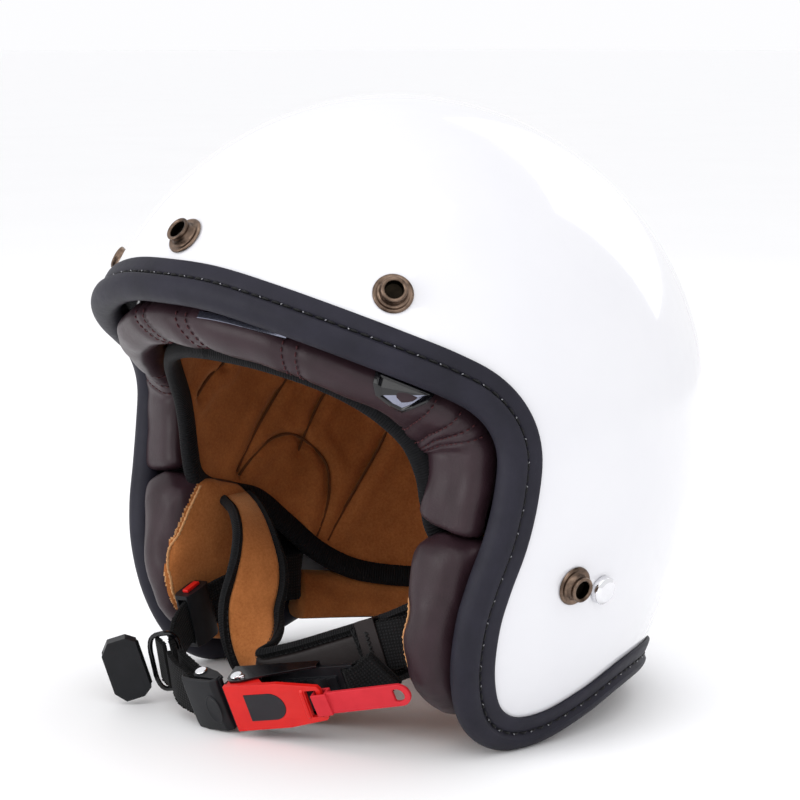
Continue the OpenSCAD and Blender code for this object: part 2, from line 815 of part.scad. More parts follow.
module keeper_ring() {
    color([0.05, 0.05, 0.05])
        at_route(RIGHT_ROUTE, 9)
            translate([0, -3, 0])
                tube([for (i = [0:27]) let (a = i * 360 / 28, c = cos(a), s = sin(a),
                    x = 6.5 * sign(c) * pow(abs(c), 0.6), z = 14.5 * sign(s) * pow(abs(s), 0.6),
                    out = unit([c / 6.5, s / 14.5]))
                    [for (b = [0:45:315]) [1.1 * sin(b), x + out.x * 1.1 * cos(b), z + out.y * 1.1 * cos(b)]]],
                    true);
}

FREE_ROUTE = [[[-55.6, -102, 19], UP], [[-57.5, -104.5, 18], UP], [[-60, -107.8, 16.5], UP],
    [[-62.5, -111, 15.5], UP]];

module free_end() {
    color([0.06, 0.06, 0.06])
        band(FREE_ROUTE, strap_w, strap_t);
}

module end_clip() {
    color([0.06, 0.06, 0.08])
        at_route(FREE_ROUTE, 2, 2)
            difference() {
                rotate([90, 0, 0])
                    linear_extrude(6, center = true)
                        polygon([[-8, -11], [-4, -14], [4, -14], [8, -9], [8, 9], [4, 14], [-4, 14], [-8, 11]]);
                cube([30, 2.4, strap_w + 0.6], center = true);
            }
}

module end_clip_mark() {
    color([0.8, 0.1, 0.1])
        at_route(FREE_ROUTE, 2, 2)
            translate([0, -3.2, 0])
                cube([1.5, 0.4, 5], center = true);
}

outer_shell();
edge_trim();
impact_liner();
brow_frame();
face_roll();
crown_liner();
crown_binding();
neck_roll();
cheek_pad_left();
cheek_pad_right();
cheek_plate_left();
cheek_plate_right();
snap_studs();
snap_washers();
strap_rivets();
anchor_plates();
left_webbing();
right_webbing();
link_webbing();
chin_sleeve();
sleeve_binding();
sleeve_keeper();
buckle_housing();
lever_pin();
lever_spring();
lever();
lever_inlay();
lever_pawl();
pull_tab();
ratchet_tongue();
tongue_webbing();
buckle_link();
link_pin();
adjuster();
adjuster_lock();
keeper_ring();
free_end();
end_clip();
end_clip_mark();
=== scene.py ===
"""Looks of the open face helmet: white shell, dark trim, leather, suede, webbing and a ratchet buckle."""
import math

import bmesh
import bpy
import numpy as np
from mathutils import Matrix, Vector


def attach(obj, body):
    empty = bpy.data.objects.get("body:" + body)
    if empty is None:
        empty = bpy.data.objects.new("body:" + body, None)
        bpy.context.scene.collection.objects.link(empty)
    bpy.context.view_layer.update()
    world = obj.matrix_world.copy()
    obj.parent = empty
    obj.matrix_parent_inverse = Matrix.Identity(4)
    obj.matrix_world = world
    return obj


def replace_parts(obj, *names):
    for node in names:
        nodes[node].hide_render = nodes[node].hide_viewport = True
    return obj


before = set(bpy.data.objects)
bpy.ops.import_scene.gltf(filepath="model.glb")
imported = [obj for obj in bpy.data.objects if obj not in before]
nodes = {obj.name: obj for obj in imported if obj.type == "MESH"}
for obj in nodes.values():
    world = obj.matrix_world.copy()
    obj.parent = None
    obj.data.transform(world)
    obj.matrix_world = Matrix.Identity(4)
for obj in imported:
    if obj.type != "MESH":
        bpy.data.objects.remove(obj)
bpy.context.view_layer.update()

MM = 0.001
scene = bpy.context.scene

# ---------------------------------------------------------------- camera, light and floor
# How the shell leans on its cheek edges and nape, and how far it is moved for that, in millimetres
TILT, SEAT_Y, SEAT_Z = math.radians(13.5), -7.0, 123.5
# The way to the picture's right, the way back to the camera and its distance in metres
right = Vector((0.6749, 0.7379, 0.0)).normalized()
back = Vector((0.7287, -0.6665, 0.1571)).normalized()
CAMERA_AWAY = 1.00784
up = back.cross(right).normalized()
cam_data = bpy.data.cameras.new("camera")
camera = bpy.data.objects.new("camera", cam_data)
scene.collection.objects.link(camera)
turn = Matrix((right, up, back)).transposed()
camera.matrix_world = Matrix.Translation(
    Vector((0, SEAT_Y, SEAT_Z)) * MM + back * CAMERA_AWAY) @ turn.to_4x4()
cam_data.lens = 104.8
cam_data.sensor_width = 36
cam_data.shift_x = 0.003
cam_data.shift_y = 0.0149
cam_data.clip_start = 0.01
scene.camera = camera
scene.view_settings.view_transform = "Standard"


def soft_light(name, at, look, size, power):
    data = bpy.data.lights.new(name, "AREA")
    data.shape = "RECTANGLE"
    data.size, data.size_y = size
    data.energy = power
    lamp = bpy.data.objects.new(name, data)
    scene.collection.objects.link(lamp)
    lamp.location = at
    lamp.rotation_euler = (Vector(look) - Vector(at)).to_track_quat("-Z", "Y").to_euler()


soft_light("top_light", (0.3, -0.5, 1.5), (0, 0, 0.1), (1.4, 1.4), 4.5)
soft_light("key_light", (1.3, -0.9, 0.9), (0, 0, 0.1), (0.9, 0.9), 3.5)
soft_light("face_light", (-0.35, -1.5, 0.55), (0, 0, 0.1), (0.9, 0.9), 8)
soft_light("rear_light", (-0.2, 1.4, 0.9), (0, 0, 0.15), (1.2, 1.0), 3.5)
world = bpy.data.worlds.new("studio")
scene.world = world
world.use_nodes = True
sky = world.node_tree.nodes["Background"].inputs
sky["Color"].default_value = (0.985, 0.985, 1.0, 1)
sky["Strength"].default_value = 1.0


# ---------------------------------------------------------------- materials
class Look:
    """A principled material with object or UV coordinates; constant values sit on the shader itself."""

    def __init__(self, name, rough=0.5, metal=0.0, coat=0.0, coat_rough=0.05, sheen=0.0,
                 sheen_rough=0.5, sheen_tint=None, spec=0.5):
        self.mat = bpy.data.materials.new(name)
        self.mat.use_nodes = True
        self.tree = self.mat.node_tree
        self.shader = self.tree.nodes["Principled BSDF"]
        put = self.shader.inputs
        put["Roughness"].default_value = rough
        put["Metallic"].default_value = metal
        put["Coat Weight"].default_value = coat
        put["Coat Roughness"].default_value = coat_rough
        put["Sheen Weight"].default_value = sheen
        put["Sheen Roughness"].default_value = sheen_rough
        put["Specular IOR Level"].default_value = spec
        if sheen_tint:
            put["Sheen Tint"].default_value = (*sheen_tint, 1)
        self.coord = self.tree.nodes.new("ShaderNodeTexCoord")
        self.normal = None

    def node(self, kind, **values):
        made = self.tree.nodes.new(kind)
        for key, value in values.items():
            setattr(made, key, value)
        return made

    def link(self, a, b):
        self.tree.links.new(a, b)

    def noise(self, scale, detail=4, rough=0.6, stretch=None):
        made = self.node("ShaderNodeTexNoise")
        made.inputs["Scale"].default_value = scale
        made.inputs["Detail"].default_value = detail
        made.inputs["Roughness"].default_value = rough
        place = self.coord.outputs["Object"]
        if stretch is not None:
            mapping = self.node("ShaderNodeMapping")
            mapping.inputs["Scale"].default_value = stretch
            self.link(place, mapping.inputs["Vector"])
            place = mapping.outputs["Vector"]
        self.link(place, made.inputs["Vector"])
        return made.outputs["Fac"]

    def cells(self, scale):
        made = self.node("ShaderNodeTexVoronoi")
        made.inputs["Scale"].default_value = scale
        self.link(self.coord.outputs["Object"], made.inputs["Vector"])
        return made.outputs["Distance"]

    def wave(self, axis, period_mm, distortion=0.0):
        """Bands across a UV axis, whose unit is one millimetre."""
        made = self.node("ShaderNodeTexWave", bands_direction=axis)
        made.inputs["Scale"].default_value = math.pi / 10 / period_mm
        made.inputs["Distortion"].default_value = distortion
        self.link(self.coord.outputs["UV"], made.inputs["Vector"])
        return made.outputs["Fac"]

    def math(self, kind, a, b):
        made = self.node("ShaderNodeMath", operation=kind)
        for i, value in enumerate((a, b)):
            if isinstance(value, (int, float)):
                made.inputs[i].default_value = value
            else:
                self.link(value, made.inputs[i])
        return made.outputs[0]

    def colours(self, fac, dark, light, low=0.3, high=0.7):
        ramp = self.node("ShaderNodeValToRGB")
        ramp.color_ramp.elements[0].position = low
        ramp.color_ramp.elements[1].position = high
        ramp.color_ramp.elements[0].color = (*dark, 1)
        ramp.color_ramp.elements[1].color = (*light, 1)
        self.link(fac, ramp.inputs["Fac"])
        self.link(ramp.outputs["Color"], self.shader.inputs["Base Color"])

    def roughness(self, fac, low, high):
        spread = self.node("ShaderNodeMapRange")
        spread.inputs["To Min"].default_value = low
        spread.inputs["To Max"].default_value = high
        self.link(fac, spread.inputs["Value"])
        self.link(spread.outputs["Result"], self.shader.inputs["Roughness"])

    def bump(self, height, depth_mm, strength=1.0):
        made = self.node("ShaderNodeBump")
        made.inputs["Strength"].default_value = strength
        made.inputs["Distance"].default_value = depth_mm * MM
        self.link(height, made.inputs["Height"])
        if self.normal is not None:
            self.link(self.normal, made.inputs["Normal"])
        self.normal = made.outputs["Normal"]
        self.link(self.normal, self.shader.inputs["Normal"])


def gloss_white():
    look = Look("gloss_white", rough=0.16, coat=1.0, coat_rough=0.03)
    look.colours(look.noise(18, 3), (0.72, 0.72, 0.75), (0.745, 0.745, 0.77))
    look.bump(look.noise(140, 2), 0.02, 0.25)
    return look.mat


def leather(name, dark, light, grain, depth, rough, spec):
    look = Look(name, rough=rough, spec=spec)
    look.colours(look.noise(60, 6), dark, light)
    look.roughness(look.noise(300, 4), rough - 0.07, rough + 0.1)
    look.bump(look.noise(260, 3), depth * 1.4, 0.35)
    look.bump(look.cells(grain), depth, 0.6)
    return look.mat


def suede(name, dark, light):
    look = Look(name, rough=0.95, sheen=0.35, sheen_rough=0.45, sheen_tint=(0.9, 0.55, 0.28), spec=0.15)
    look.colours(look.math("ADD", look.math("MULTIPLY", look.noise(900, 5, 0.75), 0.55),
                           look.math("MULTIPLY", look.noise(45, 4), 0.45)), dark, light, 0.34, 0.66)
    look.bump(look.noise(2600, 4, 0.8), 0.16, 0.8)
    return look.mat


def tape(name, base):
    look = Look(name, rough=0.8, sheen=0.02, spec=0.15)
    look.colours(look.noise(500, 4), base, tuple(2.1 * c for c in base))
    look.bump(look.wave("X", 1.15), 0.28, 0.9)
    look.bump(look.noise(1800, 3), 0.05, 0.6)
    return look.mat


def weave(name):
    look = Look(name, rough=0.85, sheen=0.03, spec=0.15)
    ribs = look.math("MULTIPLY", look.wave("X", 1.5, distortion=0.4), look.wave("Y", 1.3))
    look.colours(look.math("ADD", ribs, look.math("MULTIPLY", look.noise(900, 4), 0.35)),
                 (0.0018, 0.0018, 0.002), (0.011, 0.011, 0.012), 0.1, 1.0)
    look.bump(ribs, 0.35, 0.9)
    look.bump(look.noise(1500, 4, 0.75), 0.12, 0.7)
    return look.mat


def plastic(name, dark, light, rough, coat, grain, spec):
    look = Look(name, rough=rough, coat=coat, spec=spec)
    look.colours(look.noise(120, 4), dark, light)
    look.roughness(look.noise(420, 4), max(0.02, rough - 0.05), rough + 0.08)
    look.bump(look.noise(2200, 3), grain, 0.5)
    return look.mat


def metal(name, dark, light, rough, patches=160):
    look = Look(name, rough=rough, metal=1.0)
    look.colours(look.noise(patches, 5), dark, light)
    look.roughness(look.noise(700, 4), max(0.02, rough - 0.06), rough + 0.12)
    look.bump(look.noise(1200, 3), 0.02, 0.4)
    return look.mat


def foam():
    look = Look("bead_foam", rough=0.85, spec=0.3)
    look.colours(look.cells(330), (0.035, 0.035, 0.04), (0.012, 0.012, 0.014), 0.0, 0.8)
    look.bump(look.cells(330), -0.6, 0.8)
    return look.mat


def thread(name, colour):
    look = Look(name, rough=0.6, sheen=0.05, spec=0.25)
    look.colours(look.noise(2500, 3), tuple(0.7 * c for c in colour), tuple(1.3 * c for c in colour))
    look.bump(look.noise(3000, 3, stretch=(1, 1, 3)), 0.08, 0.7)
    return look.mat


WHITE = gloss_white()
CHARCOAL = leather("charcoal_leatherette", (0.0095, 0.0090, 0.0155), (0.0155, 0.0145, 0.0245),
                   1700, 0.05, 0.56, 0.22)
BROWN = leather("brown_leather", (0.019, 0.0085, 0.0115), (0.030, 0.0145, 0.0195),
                1500, 0.07, 0.4, 0.28)
SLEEVE_BROWN = leather("sleeve_leather", (0.010, 0.0065, 0.0065), (0.016, 0.011, 0.011),
                       1500, 0.08, 0.5, 0.25)
SUEDE = suede("caramel_suede", (0.25, 0.080, 0.020), (0.47, 0.170, 0.052))
# Dark suede for the cords in the lining's seam grooves: partly the seams' own edge, partly painted shade
SEAM_PAINTED_SHADE = suede("seam_shade", (0.085, 0.030, 0.010), (0.14, 0.050, 0.017))
SUEDE_EDGE = suede("cut_suede_edge", (0.42, 0.2, 0.08), (0.62, 0.34, 0.16))
TAPE = tape("ribbed_tape", (0.0032, 0.0032, 0.0038))
WEBBING = weave("webbing_weave")
GLOSS_BLACK = plastic("gloss_black_plastic", (0.003, 0.003, 0.004), (0.005, 0.005, 0.006),
                      0.14, 0.25, 0.01, 0.4)
# A greyish lavender metal for some faces of the black brow frame: a painted reflection
FRAME_PAINTED_REFLECTION = metal("frame_painted_reflection", (0.20, 0.21, 0.27), (0.30, 0.31, 0.39), 0.16, 40)
MATT_BLACK = plastic("moulded_black_plastic", (0.004, 0.0045, 0.006), (0.008, 0.0085, 0.011),
                     0.42, 0, 0.05, 0.28)
INLAY_BLACK = plastic("insert_plastic", (0.008, 0.0085, 0.012), (0.012, 0.0125, 0.016),
                      0.32, 0.1, 0.02, 0.3)
RED = plastic("red_plastic", (0.56, 0.008, 0.007), (0.62, 0.012, 0.009), 0.3, 0.05, 0.02, 0.3)
RUBBER = plastic("red_rubber", (0.50, 0.014, 0.024), (0.57, 0.020, 0.032), 0.5, 0, 0.06, 0.25)
BRASS = metal("antique_brass", (0.035, 0.023, 0.017), (0.25, 0.175, 0.13), 0.27)
# A much darker copy of the brass for the insides of the studs' bores: painted shade in the hollows
BRASS_PAINTED_SHADE = metal("brass_in_shade", (0.006, 0.005, 0.004), (0.02, 0.015, 0.01), 0.45)
CHROME = metal("chrome", (0.72, 0.72, 0.74), (0.82, 0.82, 0.84), 0.08)
STEEL = metal("plated_steel", (0.42, 0.42, 0.43), (0.6, 0.6, 0.61), 0.25)
FOAM = foam()
BLACK_THREAD = thread("black_thread", (0.0035, 0.0035, 0.004))
# Pale thread for short specks on the black stitches: painted glints
GLINT_THREAD = thread("painted_glint_thread", (0.3, 0.3, 0.32))
BURGUNDY = thread("burgundy_thread", (0.05, 0.009, 0.012))


# ---------------------------------------------------------------- geometry, in millimetres as in the CAD
HALF_WIDTH, FRONT, REAR, CROWN, SKIRT = 125.0, 141.0, 144.0, 136.0, 193.0
EDGE = [(0, 13.7), (11, 13.5), (22, 12.2), (33, 10.5), (44, 8.6), (54, 6.7), (61, 4.6), (66, 1),
        (69, -4), (70, -11), (70, -19), (69, -27), (69, -34), (71.5, -42), (77.5, -48.5), (87, -51.3),
        (98, -50), (109, -45.5), (120, -40), (132, -36.8), (146, -35.6), (162, -35.8), (180, -36)]
LINING_EDGE = [(0, 8.3), (14, 7.9), (28, 6.2), (38, 3.6), (46, 0), (53, -5), (58, -12), (61, -19),
               (64, -24.5), (71, -27), (81, -27.5), (92, -28.5), (104, -33.5), (115, -38), (127, -40),
               (140, -39), (153, -36.5), (166, -34.5), (180, -33.5)]


def unit(v):
    v = np.asarray(v, float)
    return v / np.linalg.norm(v, axis=-1, keepdims=True)


def ring_angles(count):
    return np.linspace(0, 2 * np.pi, count, endpoint=False)


def aim(az, el):
    a, e = np.radians(az), np.radians(el)
    return np.stack([np.sin(a) * np.cos(e), -np.cos(a) * np.cos(e), np.sin(e)], -1)


def radii(d, inset):
    return np.stack([np.full(d.shape[:-1], HALF_WIDTH), np.where(d[..., 1] < 0, FRONT, REAR),
                     np.where(d[..., 2] > 0, CROWN, SKIRT)], -1) - np.asarray(inset)[..., None]


def on_shell(d, inset=0.0):
    d = np.asarray(d, float)
    return d / np.linalg.norm(d / radii(d, inset), axis=-1, keepdims=True)


def normal_at(p):
    return unit(p / radii(p, 0.0) ** 2)


POLE = unit(np.array([0, 0.6, 0.8]))  # the cap's vertices fan out from this direction


def slerp(a, b, t):
    w = np.arccos(np.clip(np.sum(a * b, -1, keepdims=True), -1, 1))
    return (np.sin((1 - t) * w) * a + np.sin(t * w) * b) / np.sin(w)


def curve(points, u, closed=False):
    """Catmull-Rom curve through the points at the parameters u."""
    p = np.asarray(points, float)
    n = len(p)
    i = np.floor(u).astype(int)
    if not closed:
        i = np.clip(i, 0, n - 2)
    t = (u - i)[:, None]
    pick = (lambda k: p[k % n]) if closed else (lambda k: p[np.clip(k, 0, n - 1)])
    a, b, c, d = pick(i - 1), pick(i), pick(i + 1), pick(i + 2)
    return 0.5 * (2 * b + (c - a) * t + (2 * a - 5 * b + 4 * c - d) * t * t + (3 * b - a - 3 * c + d) * t ** 3)


def both_sides(half):
    rest = [(-a, e) for a, e in half[-2:0:-1]]
    return np.array([aim(a, e) for a, e in list(half) + rest])


EDGE_DIRS, LINING_DIRS = both_sides(EDGE), both_sides(LINING_EDGE)


class Rim:
    """The closed edge of a layer: places beside it by a column number, which may be a fraction."""

    def __init__(self, dirs, inset=0.0):
        self.dirs, self.inset = dirs, inset

    def at(self, u):
        return on_shell(unit(curve(self.dirs, u, True)), self.inset)

    def frame(self, u):
        p = self.at(u)
        along = unit(self.at(u + 0.05) - self.at(u - 0.05))
        n = normal_at(p)
        return p, unit(np.cross(along, n)), n

    def beside(self, u, t, n):
        p, out, normal = self.frame(np.atleast_1d(np.asarray(u, float)))
        return p + out * np.reshape(t, (-1, 1)) + normal * np.reshape(n, (-1, 1))


    def rings(self, u, section):
        """A section of (outward, normal) offsets carried along the rim, as the helmet stands."""
        return np.stack([seated(self.beside(u, t, n)) for t, n in section], 1)


RIM = Rim(EDGE_DIRS)
LINING_RIM = Rim(LINING_DIRS, 32.0)


def seated(p):
    p = np.asarray(p, float)
    c, s = math.cos(TILT), math.sin(TILT)
    return np.stack([p[..., 0], p[..., 1] * c + p[..., 2] * s + SEAT_Y,
                     -p[..., 1] * s + p[..., 2] * c + SEAT_Z], -1)


def seated_dir(v):
    return seated(v) - seated(np.zeros(3))


def run_of(points):
    """The distance along a line of points, from its start to each point."""
    step = np.linalg.norm(np.diff(points, axis=0), axis=1)
    return np.concatenate([[0], np.cumsum(step)])


def tube_rings(points, x, y, radius, count):
    return np.stack([points + radius * (math.cos(b) * x + math.sin(b) * y) for b in ring_angles(count)], 1)


# ---------------------------------------------------------------- mesh builders
def points_of(mesh):
    co = np.empty(len(mesh.vertices) * 3)
    mesh.vertices.foreach_get("co", co)
    return co.reshape(-1, 3)


def move_points(mesh, points):
    mesh.vertices.foreach_set("co", points.astype(np.float32).ravel())


def evaluated_mesh(piece):
    """The piece's mesh with its modifiers, as a mesh of its own."""
    graph = bpy.context.evaluated_depsgraph_get()
    return bpy.data.meshes.new_from_object(piece.evaluated_get(graph))


def place_object(name, mesh, body):
    piece = bpy.data.objects.new(name, mesh)
    scene.collection.objects.link(piece)
    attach(piece, body)
    return piece


def round_edges(piece, width_mm, segments, harden=False, angle=30):
    rounding = piece.modifiers.new("rounding", "BEVEL")
    rounding.width = width_mm * MM
    rounding.segments = segments
    rounding.limit_method = "ANGLE"
    rounding.angle_limit = math.radians(angle)
    rounding.harden_normals = harden
    rounding.use_clamp_overlap = True


def finish_mesh(name, verts, faces, mats, body="helmet", uv=None, face_mat=None, smooth=True, angle=None):
    mesh = bpy.data.meshes.new(name)
    mesh.from_pydata((np.asarray(verts) * MM).tolist(), [], faces)
    for mat in mats if isinstance(mats, (list, tuple)) else [mats]:
        mesh.materials.append(mat)
    if face_mat is not None:
        mesh.polygons.foreach_set("material_index", np.asarray(face_mat, np.int32))
    if uv is not None:
        layer = mesh.uv_layers.new(name="UVMap")
        loops = np.empty(len(mesh.loops), np.int32)
        mesh.loops.foreach_get("vertex_index", loops)
        layer.data.foreach_set("uv", np.asarray(uv, np.float32)[loops].ravel())
    mesh.polygons.foreach_set("use_smooth", [smooth] * len(mesh.polygons))
    mesh.validate()
    made = bmesh.new()
    made.from_mesh(mesh)
    bmesh.ops.recalc_face_normals(made, faces=made.faces)
    made.to_mesh(mesh)
    made.free()
    if angle is not None:
        mesh.set_sharp_from_angle(angle=math.radians(angle))
    return place_object(name, mesh, body)


def sweep(name, rings, mats, body="helmet", closed=False, face_mat=None, angle=None, floor=False):
    """Rings of points joined into a tube. UV in millimetres: along the sweep and round the ring."""
    rings = np.asarray(rings, float)
    if floor:
        rings[..., 2] = np.maximum(rings[..., 2], 0.0)
    m, k = rings.shape[:2]
    along = run_of(rings.mean(1))
    size = np.linalg.norm(np.roll(rings, -1, 1) - rings, axis=2).mean(0)
    round_it = np.concatenate([[0], np.cumsum(size)[:-1]])
    uv = np.stack(np.broadcast_arrays(along[:, None], round_it[None, :]), -1).reshape(-1, 2)
    i, j = np.meshgrid(np.arange(m if closed else m - 1), np.arange(k), indexing="ij")
    i, j = i.ravel(), j.ravel()
    i2, j2 = (i + 1) % m, (j + 1) % k
    faces = np.stack([i * k + j, i2 * k + j, i2 * k + j2, i * k + j2], -1)
    index = None if face_mat is None else [face_mat(a, b) for a, b in zip(i, j)]
    faces = faces.tolist()
    if not closed:
        faces += [list(range(k)), [(m - 1) * k + a for a in range(k)]]
        if index is not None:
            index += [index[0], index[-1]]
    return finish_mesh(name, rings.reshape(-1, 3), faces, mats, body, uv, index, angle=angle)


def cap_grid(dirs, inset, rows, cols):
    """Points of a curved cap from the crown's pole to a closed edge."""
    u = np.arange(cols) * len(dirs) / cols
    edge = unit(curve(dirs, u, True))
    t = (np.arange(1, rows + 1) / rows)[:, None, None]
    return on_shell(slerp(POLE[None, None, :], edge[None, :, :], t), inset)


def cap_faces(rows, cols, base=0):
    i, j = np.meshgrid(np.arange(rows - 1), np.arange(cols), indexing="ij")
    i, j = i.ravel(), j.ravel()
    a, b = base + 1 + i * cols + j, base + 1 + i * cols + (j + 1) % cols
    quads = np.stack([a, b, b + cols, a + cols], -1).tolist()
    return quads + [[base, base + 1 + (c + 1) % cols, base + 1 + c] for c in range(cols)]


def two_layers(outer, inner, rows, cols):
    """Vertices and faces of a cap whose outside and inside meet at its edge."""
    base = len(outer)
    faces = cap_faces(rows, cols) + [f[::-1] for f in cap_faces(rows, cols, base)]
    rim = 1 + (rows - 1) * cols
    faces += [[rim + c, rim + (c + 1) % cols, base + rim + (c + 1) % cols, base + rim + c]
              for c in range(cols)]
    return seated(np.concatenate([outer, inner])), faces


def tube_faces(rings, sides, base=0):
    """Faces of a tube of rings of points, with both of its ends closed."""
    faces = []
    for i in range(base, base + (rings - 1) * sides, sides):
        faces += [[i + j, i + (j + 1) % sides, i + sides + (j + 1) % sides, i + sides + j] for j in range(sides)]
    last = base + (rings - 1) * sides
    return faces + [list(range(base, base + sides)), list(range(last, last + sides))]


def lathe(profile, places, segments):
    """Vertices and faces of a turned profile of (radius, height), set on each frame of places."""
    profile = np.asarray(profile, float)
    a = ring_angles(segments)
    ring = np.stack([profile[:, None, 0] * np.cos(a), profile[:, None, 0] * np.sin(a),
                     np.broadcast_to(profile[:, None, 1], (len(profile), segments))], -1)
    verts, faces = [], []
    for centre, x, y, z in places:
        base = sum(len(v) for v in verts)
        verts.append((centre + ring[..., :1] * x + ring[..., 1:2] * y + ring[..., 2:] * z).reshape(-1, 3))
        faces += tube_faces(len(profile), segments, base)
    return np.concatenate(verts), faces


def stand_on(az, el):
    """The centre and axes of a turned part that stands on the shell."""
    p = on_shell(aim(az, el))
    z = unit(seated_dir(normal_at(p)))
    x = unit(np.cross(np.array([0, 0, 1.0]) + 1e-6, z))
    return seated(p), x, np.cross(z, x), z


def resample(points, pitch):
    s = run_of(points)
    count = max(2, int(s[-1] / pitch) + 1)
    where = np.linspace(0, s[-1], count)
    return np.stack([np.interp(where, s, points[:, k]) for k in range(3)], -1)


def stitches(name, lines, mat, body="helmet", pitch=3.2, fill=0.72, r=0.32, lift=0.15, zigzag=0.0):
    """A row of raised stitches along each line. A line is (points, normals), both in world millimetres."""
    verts, faces = [], []
    sides, steps = 6, 5
    angles = ring_angles(sides)[:, None]
    for points, normals in lines:
        s = run_of(points)
        at = lambda w, v: np.array([np.interp(w, s, v[:, k]) for k in range(3)])
        count = max(1, int(s[-1] / pitch))
        for q in range(count):
            a = (q + 0.5 - fill / 2) * s[-1] / count
            b = (q + 0.5 + fill / 2) * s[-1] / count
            p, e, n = at(a, points), at(b, points), unit(at((a + b) / 2, normals))
            side = unit(np.cross(n, e - p))
            slant = side * zigzag * (1 if q % 2 else -1)
            p, e = p + slant, e - slant
            side = unit(np.cross(n, unit(e - p)))
            faces += tube_faces(steps, sides, len(verts) * sides)
            for f in np.linspace(0, 1, steps):
                bulge = math.sin(math.pi * f)
                c = p + (e - p) * f + n * (lift - r + r * 1.3 * bulge)
                ring = np.cos(angles) * side + np.sin(angles) * n
                verts.append(c + r * (0.55 + 0.45 * bulge) * ring)
    finish_mesh(name, np.concatenate(verts), faces, mat, body)


def route(path, per_point=10):
    """Points, width directions and face directions along a strap's path, as in the CAD."""
    u = np.linspace(0, len(path) - 1, (len(path) - 1) * per_point + 1)
    p = curve([q[0] for q in path], u)
    sides = curve([unit(q[1]) for q in path], u)
    along = unit(np.gradient(p, axis=0))
    face = unit(np.cross(sides, along))
    side = unit(np.cross(along, face))
    return p, side, face


def strap(name, path, width, thick, mats, body="helmet", shift=0.0, per_point=10, crown=0.0,
          face_mat=None, corner=0.45, tip=1.0, across=9):
    """A flat strap with rounded edges along a path.

    crown swells its two faces, shift moves it sideways and tip narrows it towards the path's end.
    """
    p, side, face = route(path, per_point)
    along = np.arange(len(p)) / (len(p) - 1) * (len(path) - 1)
    ease = (1 - (1 - tip) * smoothstep(along, len(path) - 5, len(path) - 2))[:, None]
    r = corner * thick
    half_w, half_t = width / 2, thick / 2
    section = []
    for end, middle in ((1, 0), (-1, 180)):
        for s in np.linspace(-end, end, across):
            section.append((s * (half_w - r), -end * (half_t + crown * (1 - s * s))))
        for a in np.radians(np.arange(middle - 60, middle + 61, 30)):
            section.append((end * (half_w - r) + r * math.cos(a), half_t * math.sin(a)))
    narrow = 1 if shift else ease
    rings = np.stack([p + side * (shift * ease + w * narrow) + face * t for w, t in section], 1)
    return sweep(name, rings, mats, body, face_mat=face_mat)


def copy_of(node, mat, body, bevel, segments=2, angle=40):
    """A node's own shape with its edges rounded, which stands for the node."""
    name = node + "_visual"
    mesh = nodes[node].data.copy()
    mesh.name = name
    mesh.materials.clear()
    mesh.materials.append(mat)
    made = bmesh.new()
    made.from_mesh(mesh)
    bmesh.ops.remove_doubles(made, verts=made.verts, dist=2e-6)
    bmesh.ops.dissolve_limit(made, angle_limit=math.radians(4), verts=made.verts, edges=made.edges)
    for f in made.faces:
        f.smooth = True
        f.material_index = 0
    made.to_mesh(mesh)
    made.free()
    mesh.set_sharp_from_angle(angle=math.radians(angle))
    piece = place_object(name, mesh, body)
    if bevel:
        round_edges(piece, bevel, segments, harden=True, angle=35)
    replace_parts(piece, node)


def smoothstep(x, low, high):
    t = np.clip((np.asarray(x, float) - low) / (high - low), 0, 1)
    return t * t * (3 - 2 * t)


def paint(node, mat):
    """Gives a carried-over CAD node a finished material."""
    for slot in nodes[node].material_slots:
        slot.link = "OBJECT"
        slot.material = mat


# ---------------------------------------------------------------- shell, studs and rivets
ROWS, COLS = 56, 264
SHELL_THICK = 4.0
STUD_SEGMENTS = 48


def make_shell():
    layers = [np.concatenate([[on_shell(POLE, inset)], cap_grid(EDGE_DIRS, inset, ROWS, COLS).reshape(-1, 3)])
              for inset in (0.0, SHELL_THICK)]
    verts, faces = two_layers(*layers, ROWS, COLS)
    shell = finish_mesh("shell_visual", verts, faces, WHITE, angle=40)
    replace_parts(shell, "outer_shell")


def make_studs():
    outside = [(0.01, 0.1), (7.7, 0.12), (8.0, 0.35), (7.9, 0.75), (7.4, 1.15), (6.9, 1.25), (6.4, 1.0),
               (5.9, 1.0), (5.45, 1.3), (5.25, 1.8), (5.0, 2.4), (4.75, 3.1), (4.75, 3.8), (5.0, 4.4), (5.2, 4.9),
               (5.1, 5.35), (4.75, 5.6), (4.2, 5.6), (3.75, 5.3)]
    profile = outside + [(3.55, 4.8), (3.5, 3.2), (3.4, 1.9), (2.0, 1.6), (0.01, 1.6)]
    places = [stand_on(0, 22.5)]
    for az, el in ((42.5, 19), (89, -25)):
        places += [stand_on(az, el), stand_on(-az, el)]
    verts, faces = lathe(profile, places, STUD_SEGMENTS)
    bore_from, per_stud = len(outside) * STUD_SEGMENTS, len(profile) * STUD_SEGMENTS
    # The faces inside each stud's bore take the darker copy of the brass, as painted shade
    index = [1 if min(v % per_stud for v in f) >= bore_from else 0 for f in faces]
    studs = finish_mesh("snap_studs_visual", verts, faces, [BRASS, BRASS_PAINTED_SHADE], face_mat=index, angle=50)
    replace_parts(studs, "snap_studs")
    head = [(0.01, 0.1), (5.7, 0.15), (5.8, 0.5), (5.8, 2.3), (5.6, 2.75), (4.6, 3.6), (4.2, 3.8), (0.01, 3.8)]
    verts, faces = lathe(head, [stand_on(97, -25), stand_on(-97, -25)], STUD_SEGMENTS)
    rivets = finish_mesh("strap_rivet_heads", verts, faces, CHROME, angle=25)
    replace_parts(rivets, "strap_rivets")
    for node in ("snap_washers", "anchor_plates"):
        paint(node, STEEL)


